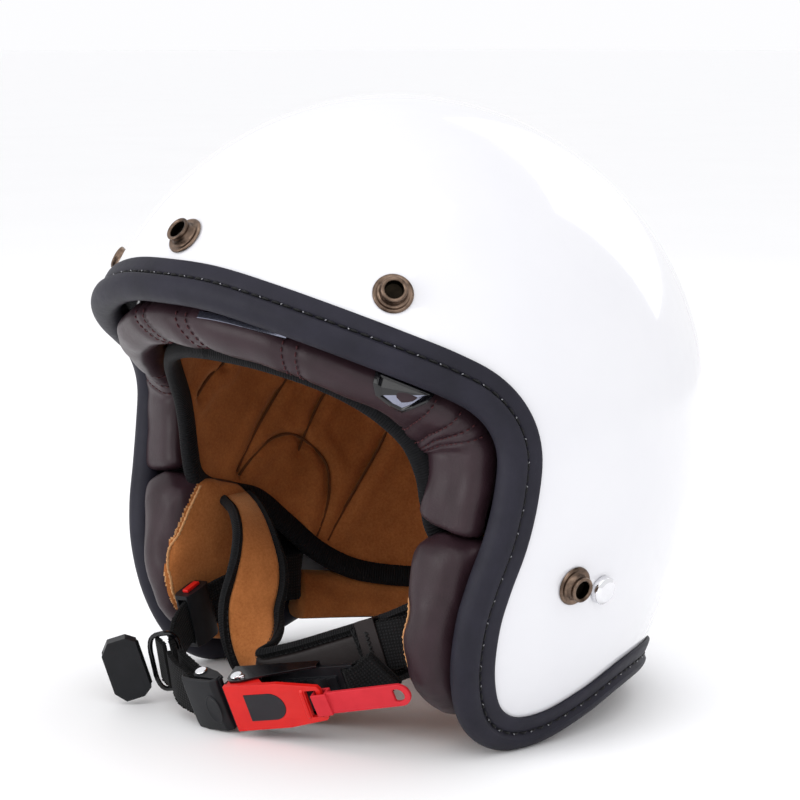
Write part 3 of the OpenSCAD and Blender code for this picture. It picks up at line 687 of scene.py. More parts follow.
# ---------------------------------------------------------------- edge trim
def make_trim():
    section = [(-10.5, 0.1), (-10.5, 1.0), (-10.2, 1.4), (-9.5, 1.7), (-8, 1.95), (-6, 2.15), (-4.8, 2.2),
               (-4.1, 1.9), (-3.7, 1.45), (-3.3, 1.75), (-3.0, 2.6), (-2.7, 3.4)]
    section += [(6.7 * math.cos(math.radians(a)), -2.2 + 6.7 * math.sin(math.radians(a)))
                for a in np.linspace(108, -95, 26)]
    section += [(-3.5, -8.9), (-3.5, -4.6), (0.1, -4.6), (0.1, 0.15), (-5.25, 0.1)]
    rings = RIM.rings(np.arange(COLS) * len(EDGE_DIRS) / COLS, section)
    trim = sweep("edge_trim_visual", rings, CHARCOAL, closed=True, angle=35, floor=True)
    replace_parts(trim, "edge_trim")
    # The seam stops where the trim stands on the floor
    v = np.linspace(0, len(EDGE_DIRS), 1400)
    line = seated(RIM.beside(v, -3.7, 1.75))
    normal = seated_dir(RIM.frame(v)[2])
    above = np.where(line[:, 2] > 2.0)[0]
    runs = [run for run in np.split(above, np.where(np.diff(above) > 1)[0] + 1) if len(run) > 3]
    seams = [(line[run], normal[run]) for run in runs]
    pitch = 4.6
    stitches("trim_stitches", seams, BLACK_THREAD, pitch=pitch, fill=0.8, r=0.52, lift=0.35)
    # Short specks of pale thread raised on top of every other stitch: painted glints
    stitches("trim_stitch_glints", seams, GLINT_THREAD, pitch=pitch * 2, fill=0.07, r=0.24, lift=0.85,
             zigzag=0.25)


# ---------------------------------------------------------------- face roll and brow frame
def roll_section(u, a, swell=0.0):
    """A point of the roll's skin: u is the place along the opening from -10 to 10, a the angle round it."""
    near = smoothstep(u, 3.8, 6.0)
    far = 1 - smoothstep(u, -6.2, -4.2)
    half = 8.6 * np.power(np.sin(np.radians(180 * (2 * u + 21.5) / 43)), 0.2)  # thinner at both ends
    p, t, n = RIM.frame(np.asarray(u, float))
    lean = unit(t * 0.45 - n)
    across = unit(t + n * 0.45)
    c, s = np.cos(np.radians(a)), np.sin(np.radians(a))
    cc, ss = np.sign(c) * np.abs(c) ** 0.8, np.sign(s) * np.abs(s) ** 0.8
    depth = 9.2 + np.where(c > 0, 19.0 * near - 7.5 * smoothstep(u, 6.6, 9.0), 8.0 * far)
    lobes = near * 1.6 * np.exp(-((c - 0.25) / 0.16) ** 2) * (s > 0)
    return (p + t * 8 - n * 20 + lean * (cc * (depth + swell))[:, None]
            + across * (ss * (half + swell - lobes + 2.0 * near * (s > 0)))[:, None])


ROLL_SEAMS = [  # place of each seam along the roll, at its front edge and at its inner edge
    (-1.45, -0.65), (-1.1, -0.35), (0.0, 0.5), (0.25, 0.75), (2.3, 2.5), (2.55, 2.75),
    (-4.75, -5.2), (-5.5, -5.9), (-6.1, -6.4), (-7.2, -7.2),
    (5.1, 4.85), (5.9, 5.35), (6.6, 5.9), (7.2, 6.5)]


def seam_place(front, rear, a):
    """Where a seam is along the roll, at the angle a round it."""
    return front + (rear - front) * (1 + np.cos(np.radians(a))) / 2


def make_roll():
    us = np.linspace(-10, 10, 281)
    rings = []
    for a in np.linspace(0, 360, 48, endpoint=False):
        groove = -0.8 * sum(np.exp(-((us - seam_place(*seam, a)) * 9 / 1.1) ** 2) for seam in ROLL_SEAMS)
        puff = 0.5 * np.sin(us * 2.1) * math.sin(math.radians(a)) + 0.35 * np.sin(us * 5.3 + a / 50)
        rings.append(seated(roll_section(us, np.full(len(us), float(a)), groove + puff * 0.6)))
    rings = np.stack(rings, 1)
    ends = []
    for last, before in ((0, 3), (-1, -4)):
        ring = rings[last]
        mid = ring.mean(0)
        away = unit(mid - rings[before].mean(0))
        ends.append([mid + (ring - mid) * f + away * h
                     for f, h in ((0.97, 1.2), (0.88, 2.6), (0.65, 3.7), (0.2, 4.2))])
    rings = np.concatenate([np.array(ends[0][::-1]), rings, np.array(ends[1])])
    roll = sweep("face_roll_visual", rings, BROWN)
    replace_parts(roll, "face_roll")
    a = np.linspace(10, 172, 60)
    lines = []
    for seam in ROLL_SEAMS:
        under, over = (seated(roll_section(seam_place(*seam, a), a, lift)) for lift in (-0.5, 1.0))
        lines.append((under, unit(over - under)))
    stitches("face_roll_stitches", lines, BURGUNDY, pitch=2.7, fill=0.66, r=0.32, lift=0.1)


def make_brow():
    us = np.linspace(-10, 10, 161)
    section = [(-3.9, -14.5), (-3.7, -14.1), (-2.6, -14.1), (-2.4, -14.5), (-2.4, -28), (-2.6, -28.3),
               (-3.7, -28.3), (-3.9, -28)]
    brow = sweep("brow_frame_visual", RIM.rings(us, section), GLOSS_BLACK, angle=40)
    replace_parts(brow, "brow_frame")
    # Two glossy parts of the frame reach out over the roll: a tapered strip and a faceted tab. The strip's top
    # faces and part of the tab's hollow take a greyish lavender metal in place of the black: a painted reflection
    us = np.linspace(0.62, 2.35, 40)
    wide = 17.0 * np.power(np.clip((2.4 - us) / 1.75, 0, 1), 0.75) + 1.5
    rings = np.stack([seated(roll_section(us, 173 - f * wide, np.full(len(us), h)))
                      for f, h in ((0, 0.2), (0, 1.3), (0.06, 1.5), (0.94, 1.1), (1, 0.9), (1, 0.2))], 1)
    sweep("brow_frame_strip", rings, [FRAME_PAINTED_REFLECTION, GLOSS_BLACK], angle=30,
          face_mat=lambda i, j: 0 if j in (2, 3) else 1)
    outline = np.array([(3.88, 172), (3.9, 142), (4.02, 114), (4.3, 100), (4.55, 97), (4.72, 122), (4.92, 150),
                        (5.0, 172)])
    middle = np.array([4.42, 140])
    tab_points = []
    for scale, height in ((1, 1.7), (1, -0.5), (0.84, 1.9), ((0.72, 0.74), 0.9)):  # top, foot, rim, hollow
        place = middle + (outline - middle) * scale
        tab_points.append(seated(roll_section(place[:, 0], place[:, 1], height)))
    k = len(outline)
    faces, index = [], []
    for i in range(k):
        j = (i + 1) % k
        faces += [[i, j, k + j, k + i], [i, 2 * k + i, 2 * k + j, j],
                  [2 * k + i, 3 * k + i, 3 * k + j, 2 * k + j]]
        index += [0, 0, 0]
    faces += [[k + i for i in range(k)], [3 * k + i for i in (0, 1, 2, 7)],
              [3 * k + i for i in (2, 3, 4, 5, 6, 7)]]
    index += [0, 0, 1]
    tab = finish_mesh("brow_frame_tab", np.concatenate(tab_points), faces, [GLOSS_BLACK, FRAME_PAINTED_REFLECTION],
                      smooth=False, face_mat=index)
    round_edges(tab, 0.25, 2)


# ---------------------------------------------------------------- crown lining
LINER_SEAMS = [  # azimuth and elevation along each sewn seam, wearer's right side; the left side mirrors them
    [(-71, 5), (-66, 1), (-61, -5)],
    [(-98, 6), (-95, 0), (-92, -6), (-88, -14), (-83, -24)],
    [(-112, 4), (-110, 0), (-108, -6), (-105, -16)],
    [(-132, -2), (-130.5, -8), (-128.5, -14), (-124, -25), (-118.5, -37)],
    [(-84, -25), (-88.5, -20), (-95, -14), (-102, -11.5), (-109, -13.5), (-115, -18), (-117, -25), (-116.5, -31),
     (-114.5, -37)],
    [(-166, -33), (-166, -10), (-160, 30), (-120, 60)],
    [(-71, 5), (-72, 25), (-80, 50)],
    [(-98, 6), (-100, 30), (-110, 55)],
    [(-132, -2), (-133, 20), (-135, 50)],
]


def seam_points(seam, inset, count):
    a = curve(np.array(seam, float), np.linspace(0, len(seam) - 1, count))
    return on_shell(aim(a[:, 0], a[:, 1]), inset)


def seam_relief(flat, inset):
    """How deep each point of the plain lining goes for the seams and how far it rises between them."""
    depth = np.zeros(len(flat))
    for seam in LINER_SEAMS:
        line = seam_points(seam, inset, 50)
        for mirror in (1, -1):
            pts = line * np.array([mirror, 1, 1])
            lo, hi = pts.min(0) - 14, pts.max(0) + 14
            near = np.where(np.all((flat > lo) & (flat < hi), axis=1))[0]
            dist = np.full(len(near), 99.0)
            for a, b in zip(pts[:-1], pts[1:]):
                ab = b - a
                t = np.clip(((flat[near] - a) @ ab) / (ab @ ab), 0, 1)
                dist = np.minimum(dist, np.linalg.norm(flat[near] - a - t[:, None] * ab, axis=1))
            depth[near] += 2.3 * np.exp(-(dist / 2.1) ** 2) - 1.5 * np.exp(-((dist - 6) / 3.6) ** 2)
    return np.clip(depth, -1.6, 2.0)


def make_liner():
    rows, cols, inset, outside = 120, 330, 35.2, 33.0
    flat = cap_grid(LINING_DIRS, inset, rows, cols).reshape(-1, 3)
    wobble = 0.25 * np.sin(flat[:, 0] / 9 + flat[:, 2] / 13) * np.sin(flat[:, 1] / 11)
    inner = flat + normal_at(flat) * (seam_relief(flat, inset) + wobble)[:, None]
    first = np.concatenate([[on_shell(POLE, outside)], on_shell(unit(flat), outside)])
    second = np.concatenate([[on_shell(POLE, inset)], inner])
    verts, faces = two_layers(first, second, rows, cols)
    liner = finish_mesh("crown_liner_visual", verts, faces, SUEDE)
    # A dark suede cord lies in each seam's groove: the seam's folded edge, coloured darker than the suede as
    # painted shade in the groove
    for k, seam in enumerate(LINER_SEAMS):
        line = seam_points(seam, inset - 0.9, 60)
        for mirror, label in ((1, "right"), (-1, "left")):
            pts = seated(line * np.array([mirror, 1, 1]))
            n = unit(seated_dir(normal_at(line * np.array([mirror, 1, 1]))))
            along = unit(np.gradient(pts, axis=0))
            sweep(f"liner_seam_shade_{k}_{label}", tube_rings(pts, np.cross(along, n), n, 0.7, 6), SEAM_PAINTED_SHADE)
    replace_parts(liner, "crown_liner")
    us = np.linspace(0, len(LINING_DIRS), 240, endpoint=False)
    section = [(0.2, -0.4), (3.5, 0.0), (6.4, -0.5), (7.7, -1.7), (8.0, -3.0), (7.6, -4.6), (6.2, -5.7),
               (3.4, -6.1), (0.2, -5.6), (-1.4, -5.2), (-1.6, -4.4), (-0.4, -4.2)]
    binding = sweep("crown_binding_visual", LINING_RIM.rings(us, section), TAPE, closed=True)
    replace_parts(binding, "crown_binding")
    paint("impact_liner", FOAM)


# ---------------------------------------------------------------- neck roll
def at_height(az, z, inset):
    """Points of the inset shell at the azimuths az and the heights z."""
    r = radii(np.stack([0 * z, -np.cos(az), z], -1), np.asarray(inset, float))
    s = np.sqrt((1 - (z / r[..., 2]) ** 2) / ((np.sin(az) / r[..., 0]) ** 2 + (np.cos(az) / r[..., 1]) ** 2))
    return np.stack([s * np.sin(az), -s * np.cos(az), z], -1)


def make_neck():
    az = np.radians(np.linspace(112, 248, 161))
    low, high = -104 + 14 * np.cos(az) ** 2, -83 + 11.5 * np.cos(az) ** 2
    # Each point of the roll's section: its inset, its share of the height and its lift
    shape = [(30, 1, 0), (34, 0.5, 0), (33, 0, 2), (28, 0, 0), (16, 0, 0), (12.5, 0, 2.5), (12.5, 0, 5),
             (19, 1, -1)]
    w = np.linspace(0, len(shape), 40, endpoint=False)
    section = curve(np.array(shape, float), w, True)
    seam_low = 0.25 + 0.6 * np.abs((np.degrees(az) - 180) / 68) ** 2
    rings = []
    for k, (inset, f, off) in enumerate(section):
        z = low + (high - low) * f + off
        face = 1.2 * np.exp(-((f - seam_low) * 14 / 1.6) ** 2) if w[k] < 2.6 else 0 * az
        rings.append(seated(at_height(az, z, np.full(len(az), inset) - face)))
    rings = np.stack(rings, 1)
    mats = lambda i, j: 1 if 2.4 <= w[j] < 5.4 else 0
    neck = sweep("neck_roll_visual", rings, [SUEDE, TAPE], face_mat=mats)
    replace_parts(neck, "neck_roll")


# ---------------------------------------------------------------- cheek pads
# Levels of a pad in the shell's own frame: height, front, rear and how far its corners are drawn in
CHEEK_LEVELS = [(-43.5, -46.5, -14, 2), (-46.5, -51, -9, 0.4), (-55, -53.5, -4, 0), (-66, -52.5, 1, 0),
                (-76, -52.5, 4, 0), (-87, -51.3, 7, 0), (-97, -46.5, 8, 0), (-106, -41, 7, 0),
                (-113, -31, 4, 0.5), (-116, -24, 2, 3)]
PAD_GAP = 0.6  # between the pad and its neighbours
# Place, size and depth of the pinches: two at the upper corners and one half way down the inner front edge
PINCHES = [((76, -50, -44), 6, 2.4), ((103, -48, -44), 6, 2.2), ((75, -53, -78), 7, 2.8)]
PAD_MIDDLE = (88, -20, -85)
# Start and direction of the folds that run from the pinches into the leather
FOLDS = [((76, -50, -49), (0.5, -0.2, -0.8)), ((75, -53, -78), (0.7, -0.2, 0.4)),
         ((75, -53, -78), (0.7, -0.2, -0.5))]
# The line where the leather meets the suede: how far below the middle, and how far forward
LINE_DEPTHS, LINE_PLACES = [43, 57, 70, 78, 87, 97, 106, 116], [-40, -46, -48.5, -50.5, -49.5, -45, -37, -22]
LEATHER_FACE, SUEDE_FACE, CUT_FACE = 0, 1, 2


def suede_line(z):
    return np.interp(-z, LINE_DEPTHS, LINE_PLACES)


def pad_form(side):
    """Rings of points round the plain pad, from its top to its bottom."""
    rings = []
    for z, front, rear, tuck in CHEEK_LEVELS:
        outer = 105.5 + (z + 47) * math.tan(math.radians(12)) - PAD_GAP
        front, rear = front + PAD_GAP, rear - PAD_GAP
        rings.append([(side * x, y, z) for x, y in (
            (outer - tuck, front + 9), (outer - 3 - tuck, front + 1.5), ((outer + 76) / 2, front - 1.5),
            (76.5 + tuck, front + 1), (74.5 + tuck, front + 9), (74 + tuck, (front + rear) / 2),
            (76 + tuck, rear - 2), (79 + tuck, rear), (outer - 5, rear), (outer - tuck, rear - 8))])
    rings = np.array(rings, float)
    rows = 90
    fine = curve(rings.reshape(len(rings), -1), np.linspace(0, len(rings) - 1, rows)).reshape(rows, -1, 3)
    return np.stack([curve(ring, np.linspace(0, 10, 170, endpoint=False), True) for ring in fine])


def press_pad(h, side):
    """Moves the pad's points h for its pinches, its folds and the hollow that the adjuster presses."""
    for place, size, depth in PINCHES:
        d = h - np.array(place)
        fall = np.exp(-np.sum(d * d, 1) / size ** 2)
        h += fall[:, None] * unit(np.subtract(PAD_MIDDLE, place)) * depth
    for start, direction in FOLDS:
        line = unit(np.array(direction))
        rel = h - np.array(start)
        t = rel @ line
        off = np.linalg.norm(rel - t[:, None] * line, axis=1)
        h[:, 1] += 0.9 * np.exp(-(off / 2.2) ** 2) * np.clip(t / 3, 0, 1) * np.exp(-np.maximum(t, 0) / 9)
    if side < 0:
        d = h - np.array([74, -28, -99])
        h[:, 0] += 2.4 * np.exp(-np.sum(d * d, 1) / 18 ** 2) * (1 - smoothstep(h[:, 0], 76, 90))


def pad_face(middle):
    """Which material a face of the pad has, from the face's middle."""
    border = suede_line(middle[2]) + 0.12 * math.sin(middle[2] / 1.3)
    if middle[0] > 78.5 or middle[1] < border - 0.5:
        return LEATHER_FACE
    return CUT_FACE if middle[1] < border else SUEDE_FACE


def make_pad(side, node):
    pad = sweep(node + "_visual", seated(pad_form(side)), [BROWN, SUEDE, SUEDE_EDGE])
    swell(pad, cap_mm=4.0, pressure=3.0)
    mesh = pad.data
    local = points_of(mesh) / MM - np.array([0, SEAT_Y, SEAT_Z])
    c, s = math.cos(TILT), math.sin(TILT)
    # The points in the shell's own frame, both pads as the left one
    h = np.stack([local[:, 0] * side, local[:, 1] * c - local[:, 2] * s, local[:, 1] * s + local[:, 2] * c], -1)
    press_pad(h, side)
    move_points(mesh, seated(h * np.array([side, 1, 1])) * MM)
    mesh.update()
    mesh.polygons.foreach_set("material_index", [pad_face(h[list(f.vertices)].mean(0)) for f in mesh.polygons])
    # The rough cut edge of the suede, from the top corner down
    edge = []
    for z in np.linspace(-46, -108, 90):
        near = np.abs(h - np.array([0, suede_line(z), z]))
        pick = np.where((near[:, 1] < 1.6) & (near[:, 2] < 1.6) & (h[:, 0] < 86))[0]
        if len(pick):
            edge.append(h[pick[np.argmin(h[pick, 0])]] * np.array([side, 1, 1]))
    edge = seated(np.array(edge))
    for _ in range(14):
        edge[1:-1] = (edge[:-2] + 2 * edge[1:-1] + edge[2:]) / 4
    edge = resample(edge, 0.7)
    k = np.arange(len(edge))
    wide = 0.75 + 0.2 * np.sin(k * 1.7) + 0.15 * np.sin(k * 3.9 + 1)
    rings = np.stack([edge + wide[:, None] * (0.6 * math.cos(b) * side, math.sin(b), 0.3 * math.cos(b))
                      for b in ring_angles(8)], 1)
    sweep(node + "_cut_edge", rings, SUEDE_EDGE)
    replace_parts(pad, node)


def swell(piece, cap_mm, pressure, voxel=4.0, frames=16):
    """Swells a closed form as stuffed cloth; no point may move further than cap_mm."""
    mesh = piece.data
    made = piece.modifiers.new("remesh", "REMESH")
    made.mode = "VOXEL"
    made.voxel_size = voxel * MM
    fresh = evaluated_mesh(piece)
    piece.modifiers.remove(made)
    piece.data = fresh
    for mat in mesh.materials:
        if mat.name not in fresh.materials:
            fresh.materials.append(mat)
    start = points_of(fresh)
    cloth = piece.modifiers.new("cloth", "CLOTH")
    fabric = cloth.settings
    fabric.use_pressure = True
    fabric.uniform_pressure_force = pressure
    fabric.effector_weights.gravity = 0
    fabric.tension_stiffness = fabric.compression_stiffness = 12
    fabric.quality = 4
    cloth.collision_settings.use_collision = False
    cloth.point_cache.frame_start = 1
    cloth.point_cache.frame_end = frames
    for f in range(1, frames + 1):
        scene.frame_set(f)
    graph = bpy.context.evaluated_depsgraph_get()
    move = points_of(piece.evaluated_get(graph).to_mesh()) - start
    piece.evaluated_get(graph).to_mesh_clear()
    piece.modifiers.remove(cloth)
    scene.frame_set(1)
    far = np.linalg.norm(move, axis=1, keepdims=True)
    move *= np.minimum(1, cap_mm * MM / np.maximum(far, 1e-9))
    move_points(fresh, start + move)
    made = bmesh.new()
    made.from_mesh(fresh)
    bmesh.ops.smooth_vert(made, verts=made.verts, factor=0.5,
                          use_axis_x=True, use_axis_y=True, use_axis_z=True)
    for f in made.faces:
        f.smooth = True
    made.to_mesh(fresh)
    made.free()
    finer = piece.modifiers.new("finer", "SUBSURF")
    finer.levels = 2
    smooth = evaluated_mesh(piece)
    piece.modifiers.remove(finer)
    piece.data = smooth


# ---------------------------------------------------------------- chin strap
BUCKLE_AT = np.array([9, -97.7, 16.5])
YAW, RISE, LEAN = math.radians(23.5), math.radians(10), math.radians(20)
TURN = np.array(Matrix.Rotation(YAW, 3, "Z") @ Matrix.Rotation(-RISE, 3, "Y") @ Matrix.Rotation(LEAN, 3, "X"))


def turned(p):
    return np.asarray(p, float) @ TURN.T


def lie(x, y, z=0.0):
    return BUCKLE_AT + turned([x, y, z])


# Directions across the strap's width
UP, BACK_IN, ALONG_TOP = (0, -0.2, 1), (0, 1, 0.2), (-0.35, -0.1, 0.93)
ACROSS_BUCKLE = tuple(turned([0, 0, 1]))
LEFT = [((104, 6, 77), BACK_IN), ((103, 9, 62), BACK_IN), ((98, 10, 48), (0.3, 1, 0.4)),
        ((86, 4, 38.5), (0, 0.6, 1)), ((71, -4, 38), (0.1, 0.1, 1)), ((69, -18, 41), UP), ((70, -36, 45), UP),
        ((71.5, -51, 47), UP), ((67, -59.5, 44), ALONG_TOP), ((58, -62.5, 41.5), ALONG_TOP),
        ((48.5, -64.5, 38.5), ALONG_TOP), ((42, -66.5, 35.5), ALONG_TOP)]
RIGHT = [((-104, 6, 77), BACK_IN), ((-103, 9, 62), BACK_IN), ((-98, 10, 48), (-0.3, 1, 0.4)),
         ((-86, 4, 38.5), (0, 0.6, 1)), ((-71, -4, 38), (-0.1, 0.1, 1)), ((-69, -20, 39), UP),
         ((-70, -44, 36.5), UP), ((-67, -66, 31.5), UP), ((-59, -82, 26), UP), ((-48, -93, 19), UP),
         ((-42, -96, 18), UP)]
LOOP = [((-37, -97.3, 17.5), UP), ((-26, -100, 15.8), UP), (lie(-20.4, 4.6), ACROSS_BUCKLE),
        (lie(-16.9, 3.9), ACROSS_BUCKLE), (lie(-15.9, 1.5), ACROSS_BUCKLE), (lie(-16.9, -0.9), ACROSS_BUCKLE),
        (lie(-20.4, -1.6), ACROSS_BUCKLE), ((-26, -107, 15.5), UP), ((-37, -103, 18), UP)]
RETURN = [((-42, -101, 19), UP), ((-48, -99, 19.5), UP), ((-52.3, -97.6, 20), UP)]
FREE = [((-56.2, -102.7, 18.7), UP), ((-57.5, -104.5, 18), UP), ((-60, -107.8, 16.5), UP),
        ((-62.5, -111, 15.5), UP)]
SLEEVE = [((65.5, -34, 49), UP), ((66.5, -46, 47.5), UP), ((63, -54.5, 43.5), ALONG_TOP),
          ((50, -58.5, 37), ALONG_TOP), ((30, -65, 28.5), ALONG_TOP), ((9, -74, 20), ALONG_TOP),
          ((-6, -78, 17), (-0.2, -0.2, 1)), ((-17, -73, 24), (0.2, 0.3, 0.6)),
          ((-29, -66, 39), (0.6, 0.78, -0.1)), ((-32, -60, 52), (0.4, 0.9, -0.1)),
          ((-35, -57, 64), (0.1, 0.98, -0.1)), ((-44, -52, 72.5), (-0.2, 0.96, 0)),
          ((-59, -44, 77), (-0.35, 0.9, 0)), ((-82, -33, 79), (-0.35, 0.9, 0))]
TONGUE_LOOP = [(lie(x, y, z), ACROSS_BUCKLE) for x, y, z in (
    (62, 6.4, 5), (56, 4.8, 2), (49, 3.7, 0), (46.9, 3.2, 0), (46.1, 1.45, 0), (46.9, -0.4, 0),
    (49, -0.9, 0), (56, 2.3, 2), (62, 4, 5))]
WEBBING_WIDTH, WEBBING_THICK, TONGUE_WIDTH = 19.6, 1.8, 17.4
# The sleeve: points between two places of its path, where it turns over, and the points across a face
SLEEVE_STEPS, SLEEVE_FOLD, SLEEVE_ACROSS = 14, 6.3, 11


def fuzz(name, path, body="helmet", width=WEBBING_WIDTH):
    """The selvedge of the webbing: small loops of yarn along both edges."""
    p, side, face = route(path, 24)
    s = run_of(p)
    count = max(3, int(s[-1] / 1.5))
    steps, sides, r = 8, 5, 0.4
    verts, faces, base = [], [], 0
    for edge in (-1, 1):
        for q in range(count):
            w = (q + 0.5) * s[-1] / count
            at = lambda v: np.array([np.interp(w, s, v[:, k]) for k in range(3)])
            c, a, n = at(p), unit(at(side)), unit(at(face))
            along = np.cross(a, n)
            c = c + a * edge * (width / 2 + 0.1 + 0.15 * math.sin(q * 2.3))
            for t in ring_angles(steps):
                out = n * math.cos(t) + along * math.sin(t)
                mid = c + n * math.cos(t) * WEBBING_THICK * 0.46 + along * math.sin(t) * 0.5
                verts += [mid + r * (math.cos(b) * out + math.sin(b) * a) for b in ring_angles(sides)]
            for i in range(steps):
                for j in range(sides):
                    i2, j2 = (i + 1) % steps, (j + 1) % sides
                    faces.append([base + i * sides + j, base + i2 * sides + j, base + i2 * sides + j2,
                                  base + i * sides + j2])
            base += steps * sides
    finish_mesh(name, np.array(verts), faces, WEBBING, body)


def webbing(name, path, node, body="helmet", width=WEBBING_WIDTH):
    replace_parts(strap(name, path, width, WEBBING_THICK, WEBBING, body), node)


def make_strap():
    webbing("left_webbing_visual", LEFT, "left_webbing")
    webbing("right_webbing_visual", RIGHT, "right_webbing")
    webbing("right_webbing_return", RETURN, "right_webbing")
    fuzz("left_selvedge", LEFT[8:])
    # The adjuster slides between these two
    fuzz("right_selvedge_rear", RIGHT[4:7])
    fuzz("right_selvedge", RIGHT[8:])
    fuzz("return_selvedge", RETURN)
    webbing("link_webbing_visual", LOOP, "link_webbing", "link")
    fuzz("link_selvedge", LOOP, "link")
    webbing("free_end_visual", FREE, "free_end", "free_end")
    fuzz("free_selvedge", FREE[:3], "free_end")
    webbing("tongue_webbing_visual", TONGUE_LOOP, "tongue_webbing", "tongue", TONGUE_WIDTH)
    fuzz("tongue_selvedge", TONGUE_LOOP, "tongue", TONGUE_WIDTH)


def make_sleeve():
    # Leather outside and suede inside, which change places where the sleeve turns over
    fold = SLEEVE_STEPS * SLEEVE_FOLD
    sleeve = strap("chin_sleeve_visual", SLEEVE, 19.6, 3.6, [SLEEVE_BROWN, SUEDE], per_point=SLEEVE_STEPS,
                   crown=0.35, across=SLEEVE_ACROSS, tip=0.6,
                   face_mat=lambda i, j: int((j <= SLEEVE_ACROSS) == (i < fold)))
    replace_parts(sleeve, "chin_sleeve")
    # The stitches end where the sleeve narrows
    p, side, face = (part[:-5 * SLEEVE_STEPS] for part in route(SLEEVE, SLEEVE_STEPS))
    for edge, end_name in ((-1, "lower"), (1, "upper")):
        binding = strap(f"sleeve_binding_{end_name}", SLEEVE, 4.6, 4.8, TAPE, shift=edge * 11.9,
                        per_point=SLEEVE_STEPS, corner=0.5, across=4, tip=0.6)
        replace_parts(binding, "sleeve_binding")
        for sign, label in ((1, "inner"), (-1, "outer")):
            line = p + side * edge * 10.1 + face * sign * 2.35
            stitches(f"binding_stitches_{end_name}_{label}", [(line, face * sign)], BLACK_THREAD, pitch=2.4,
                     r=0.22, lift=0.0)
    # The keeper: a leather loop with a stitched bar
    copy_of("sleeve_keeper", SLEEVE_BROWN, "helmet", 0.5, 3)
    p, side, face = route(LEFT, 20)
    face = face * np.where(face[:, 1:2] < 0, 1, -1)
    k = 200
    bar = p[k] + np.linspace(-7, 7, 15)[:, None] * side[k] + face[k] * 2.35
    stitches("keeper_bar", [(bar, np.broadcast_to(face[k], bar.shape))], BLACK_THREAD, pitch=0.9, fill=1.3,
             r=0.42, lift=0.1, zigzag=1.1)
    # The zigzag that sews the webbing's end down
    end = slice(212, 220)
    rows = [(p[end] + side[end] * a + face[end] * 1.05, face[end]) for a in np.linspace(-8, 8, 4)]
    stitches("webbing_zigzag", rows, BLACK_THREAD, pitch=0.9, fill=1.2, r=0.35, lift=0.1, zigzag=1.6)


# ---------------------------------------------------------------- buckle
BUCKLE_PARTS = [  # node, material, body, edge radius; then bevel segments and the angle that stays sharp
    ("buckle_housing", GLOSS_BLACK, "helmet", 0.3), ("lever_pin", CHROME, "helmet", 0.5, 3, 50),
    ("lever", RED, "lever", 0.7, 3), ("lever_inlay", INLAY_BLACK, "lever", 0.15),
    ("lever_pawl", STEEL, "lever", 0.2), ("pull_tab", RUBBER, "pull_tab", 0.5, 3),
    ("ratchet_tongue", MATT_BLACK, "tongue", 0.15), ("buckle_link", MATT_BLACK, "link", 0.4, 3),
    ("link_pin", CHROME, "link", 0.5, 3, 50), ("adjuster", MATT_BLACK, "adjuster", 0.6),
    ("adjuster_lock", RED, "adjuster", 0.3), ("keeper_ring", GLOSS_BLACK, "keeper_ring", 0),
    ("end_clip", MATT_BLACK, "free_end", 0.5), ("end_clip_mark", RED, "free_end", 0.1, 1)]


def make_buckle():
    for part in BUCKLE_PARTS:
        copy_of(*part)
    # The lever's ridge: a bar that narrows towards its face
    verts = [lie(30.1 + 0.9 * x * f, y, 7.6 * z * f) for y, f in ((-10.7, 0.8), (-9.6, 1.0))
             for x, z in ((-1, -1), (1, -1), (1, 1), (-1, 1))]
    faces = [[0, 1, 2, 3], [7, 6, 5, 4], [0, 4, 5, 1], [1, 5, 6, 2], [2, 6, 7, 3], [3, 7, 4, 0]]
    ridge = finish_mesh("lever_ridge", np.array(verts), faces, RED, "lever", angle=30)
    round_edges(ridge, 0.5, 3, harden=True)
    make_link_cover()
    # The spring's coil and the wire end that shows beside the pin
    a = np.linspace(0, 8 * np.pi, 150)
    coil = np.stack([2.3 * np.cos(a), -4 + 2.3 * np.sin(a), -2.6 + 5.2 * a / a[-1]], -1)
    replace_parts(make_wire("lever_spring_visual", coil, 0.4), "lever_spring")
    a = np.linspace(0, 3.4 * np.pi, 70)
    curl = np.stack([1.5 + 1.7 * np.cos(a) + 0.28 * a, -6.2 - 0.96 * np.sin(a), 12.9 + 0.9 * np.sin(a + 0.7)], -1)
    make_wire("spring_wire_end", curl, 0.36)


def on_link(x, y, z=0.0):
    """A point in the link's frame: +X runs from the lever's pin to the webbing's pin."""
    c, s = math.cos(math.radians(164)), math.sin(math.radians(164))
    return lie(x * c - y * s, -4 + x * s + y * c, z)


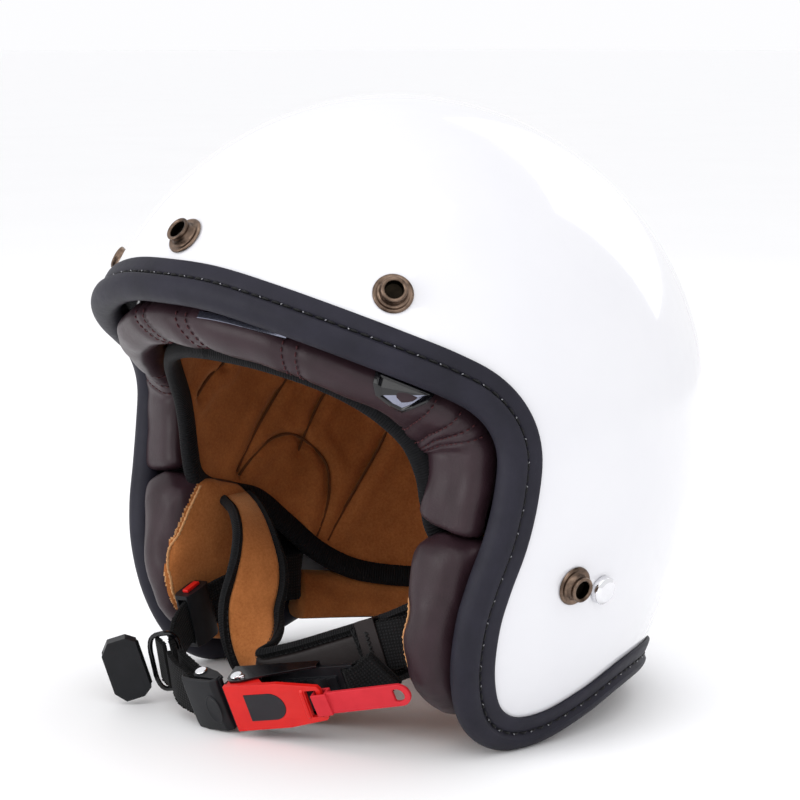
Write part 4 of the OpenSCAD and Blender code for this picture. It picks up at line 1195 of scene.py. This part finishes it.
def make_link_cover():
    """The link's moulded front, which covers the webbing's loop, with an oval hollow beside the lever."""
    outline = [(8.6, 1.8), (8.8, 4.0), (10.5, 5.3), (20, 5.9), (25.5, 5.2), (27.2, 3.4), (27.4, 4.9),
               (26, 6.6), (20, 7.4), (10, 6.8), (7.9, 5.0), (7.6, 2.2)]
    half = 12.4
    rings = [[on_link(x, y - 0.5 * (abs(z) / half) ** 6, z) for x, y in outline]
             for z in np.linspace(-half, half, 13)]
    cover = sweep("buckle_link_cover", np.array(rings), MATT_BLACK, "link", angle=25)
    round_edges(cover, 0.5, 3)
    rings = [[on_link(12.4 + 3.4 * r * c, 7.18 + h + 0.12 * r * c, -1.5 + 6.2 * r * s)
              for c, s in ((math.cos(t), math.sin(t)) for t in ring_angles(40))]
             for r, h in ((1.12, -0.1), (1.08, 0.2), (1.0, 0.24), (0.95, 0.1))]
    sweep("link_hollow", np.array(rings), MATT_BLACK, "link", angle=30)


def make_wire(name, local, r):
    pts = BUCKLE_AT + turned(local)
    along = unit(np.gradient(pts, axis=0))
    x = unit(np.cross(along, np.array([0.3, 0.2, 1.0])))
    return sweep(name, tube_rings(pts, x, np.cross(along, x), r, 10), CHROME)


def make_floor():
    look = Look("pale_floor", rough=0.6, spec=0.2)
    look.colours(look.noise(3, 3), (0.97, 0.97, 0.975), (0.985, 0.985, 0.99))
    look.bump(look.noise(90, 3), 0.05, 0.3)
    mesh = bpy.data.meshes.new("floor")
    half, level = 60.0, -0.0004
    corners = [(half * x, half * y, level) for x, y in ((-1, -1), (1, -1), (1, 1), (-1, 1))]
    mesh.from_pydata(corners, [], [(0, 1, 2, 3)])
    mesh.materials.append(look.mat)
    floor = bpy.data.objects.new("floor", mesh)
    scene.collection.objects.link(floor)


make_floor()
make_shell()
make_studs()
make_trim()
make_roll()
make_brow()
make_liner()
make_neck()
make_pad(1, "cheek_pad_left")
make_pad(-1, "cheek_pad_right")
for plate in ("cheek_plate_left", "cheek_plate_right"):
    paint(plate, MATT_BLACK)
make_strap()
make_sleeve()
make_buckle()
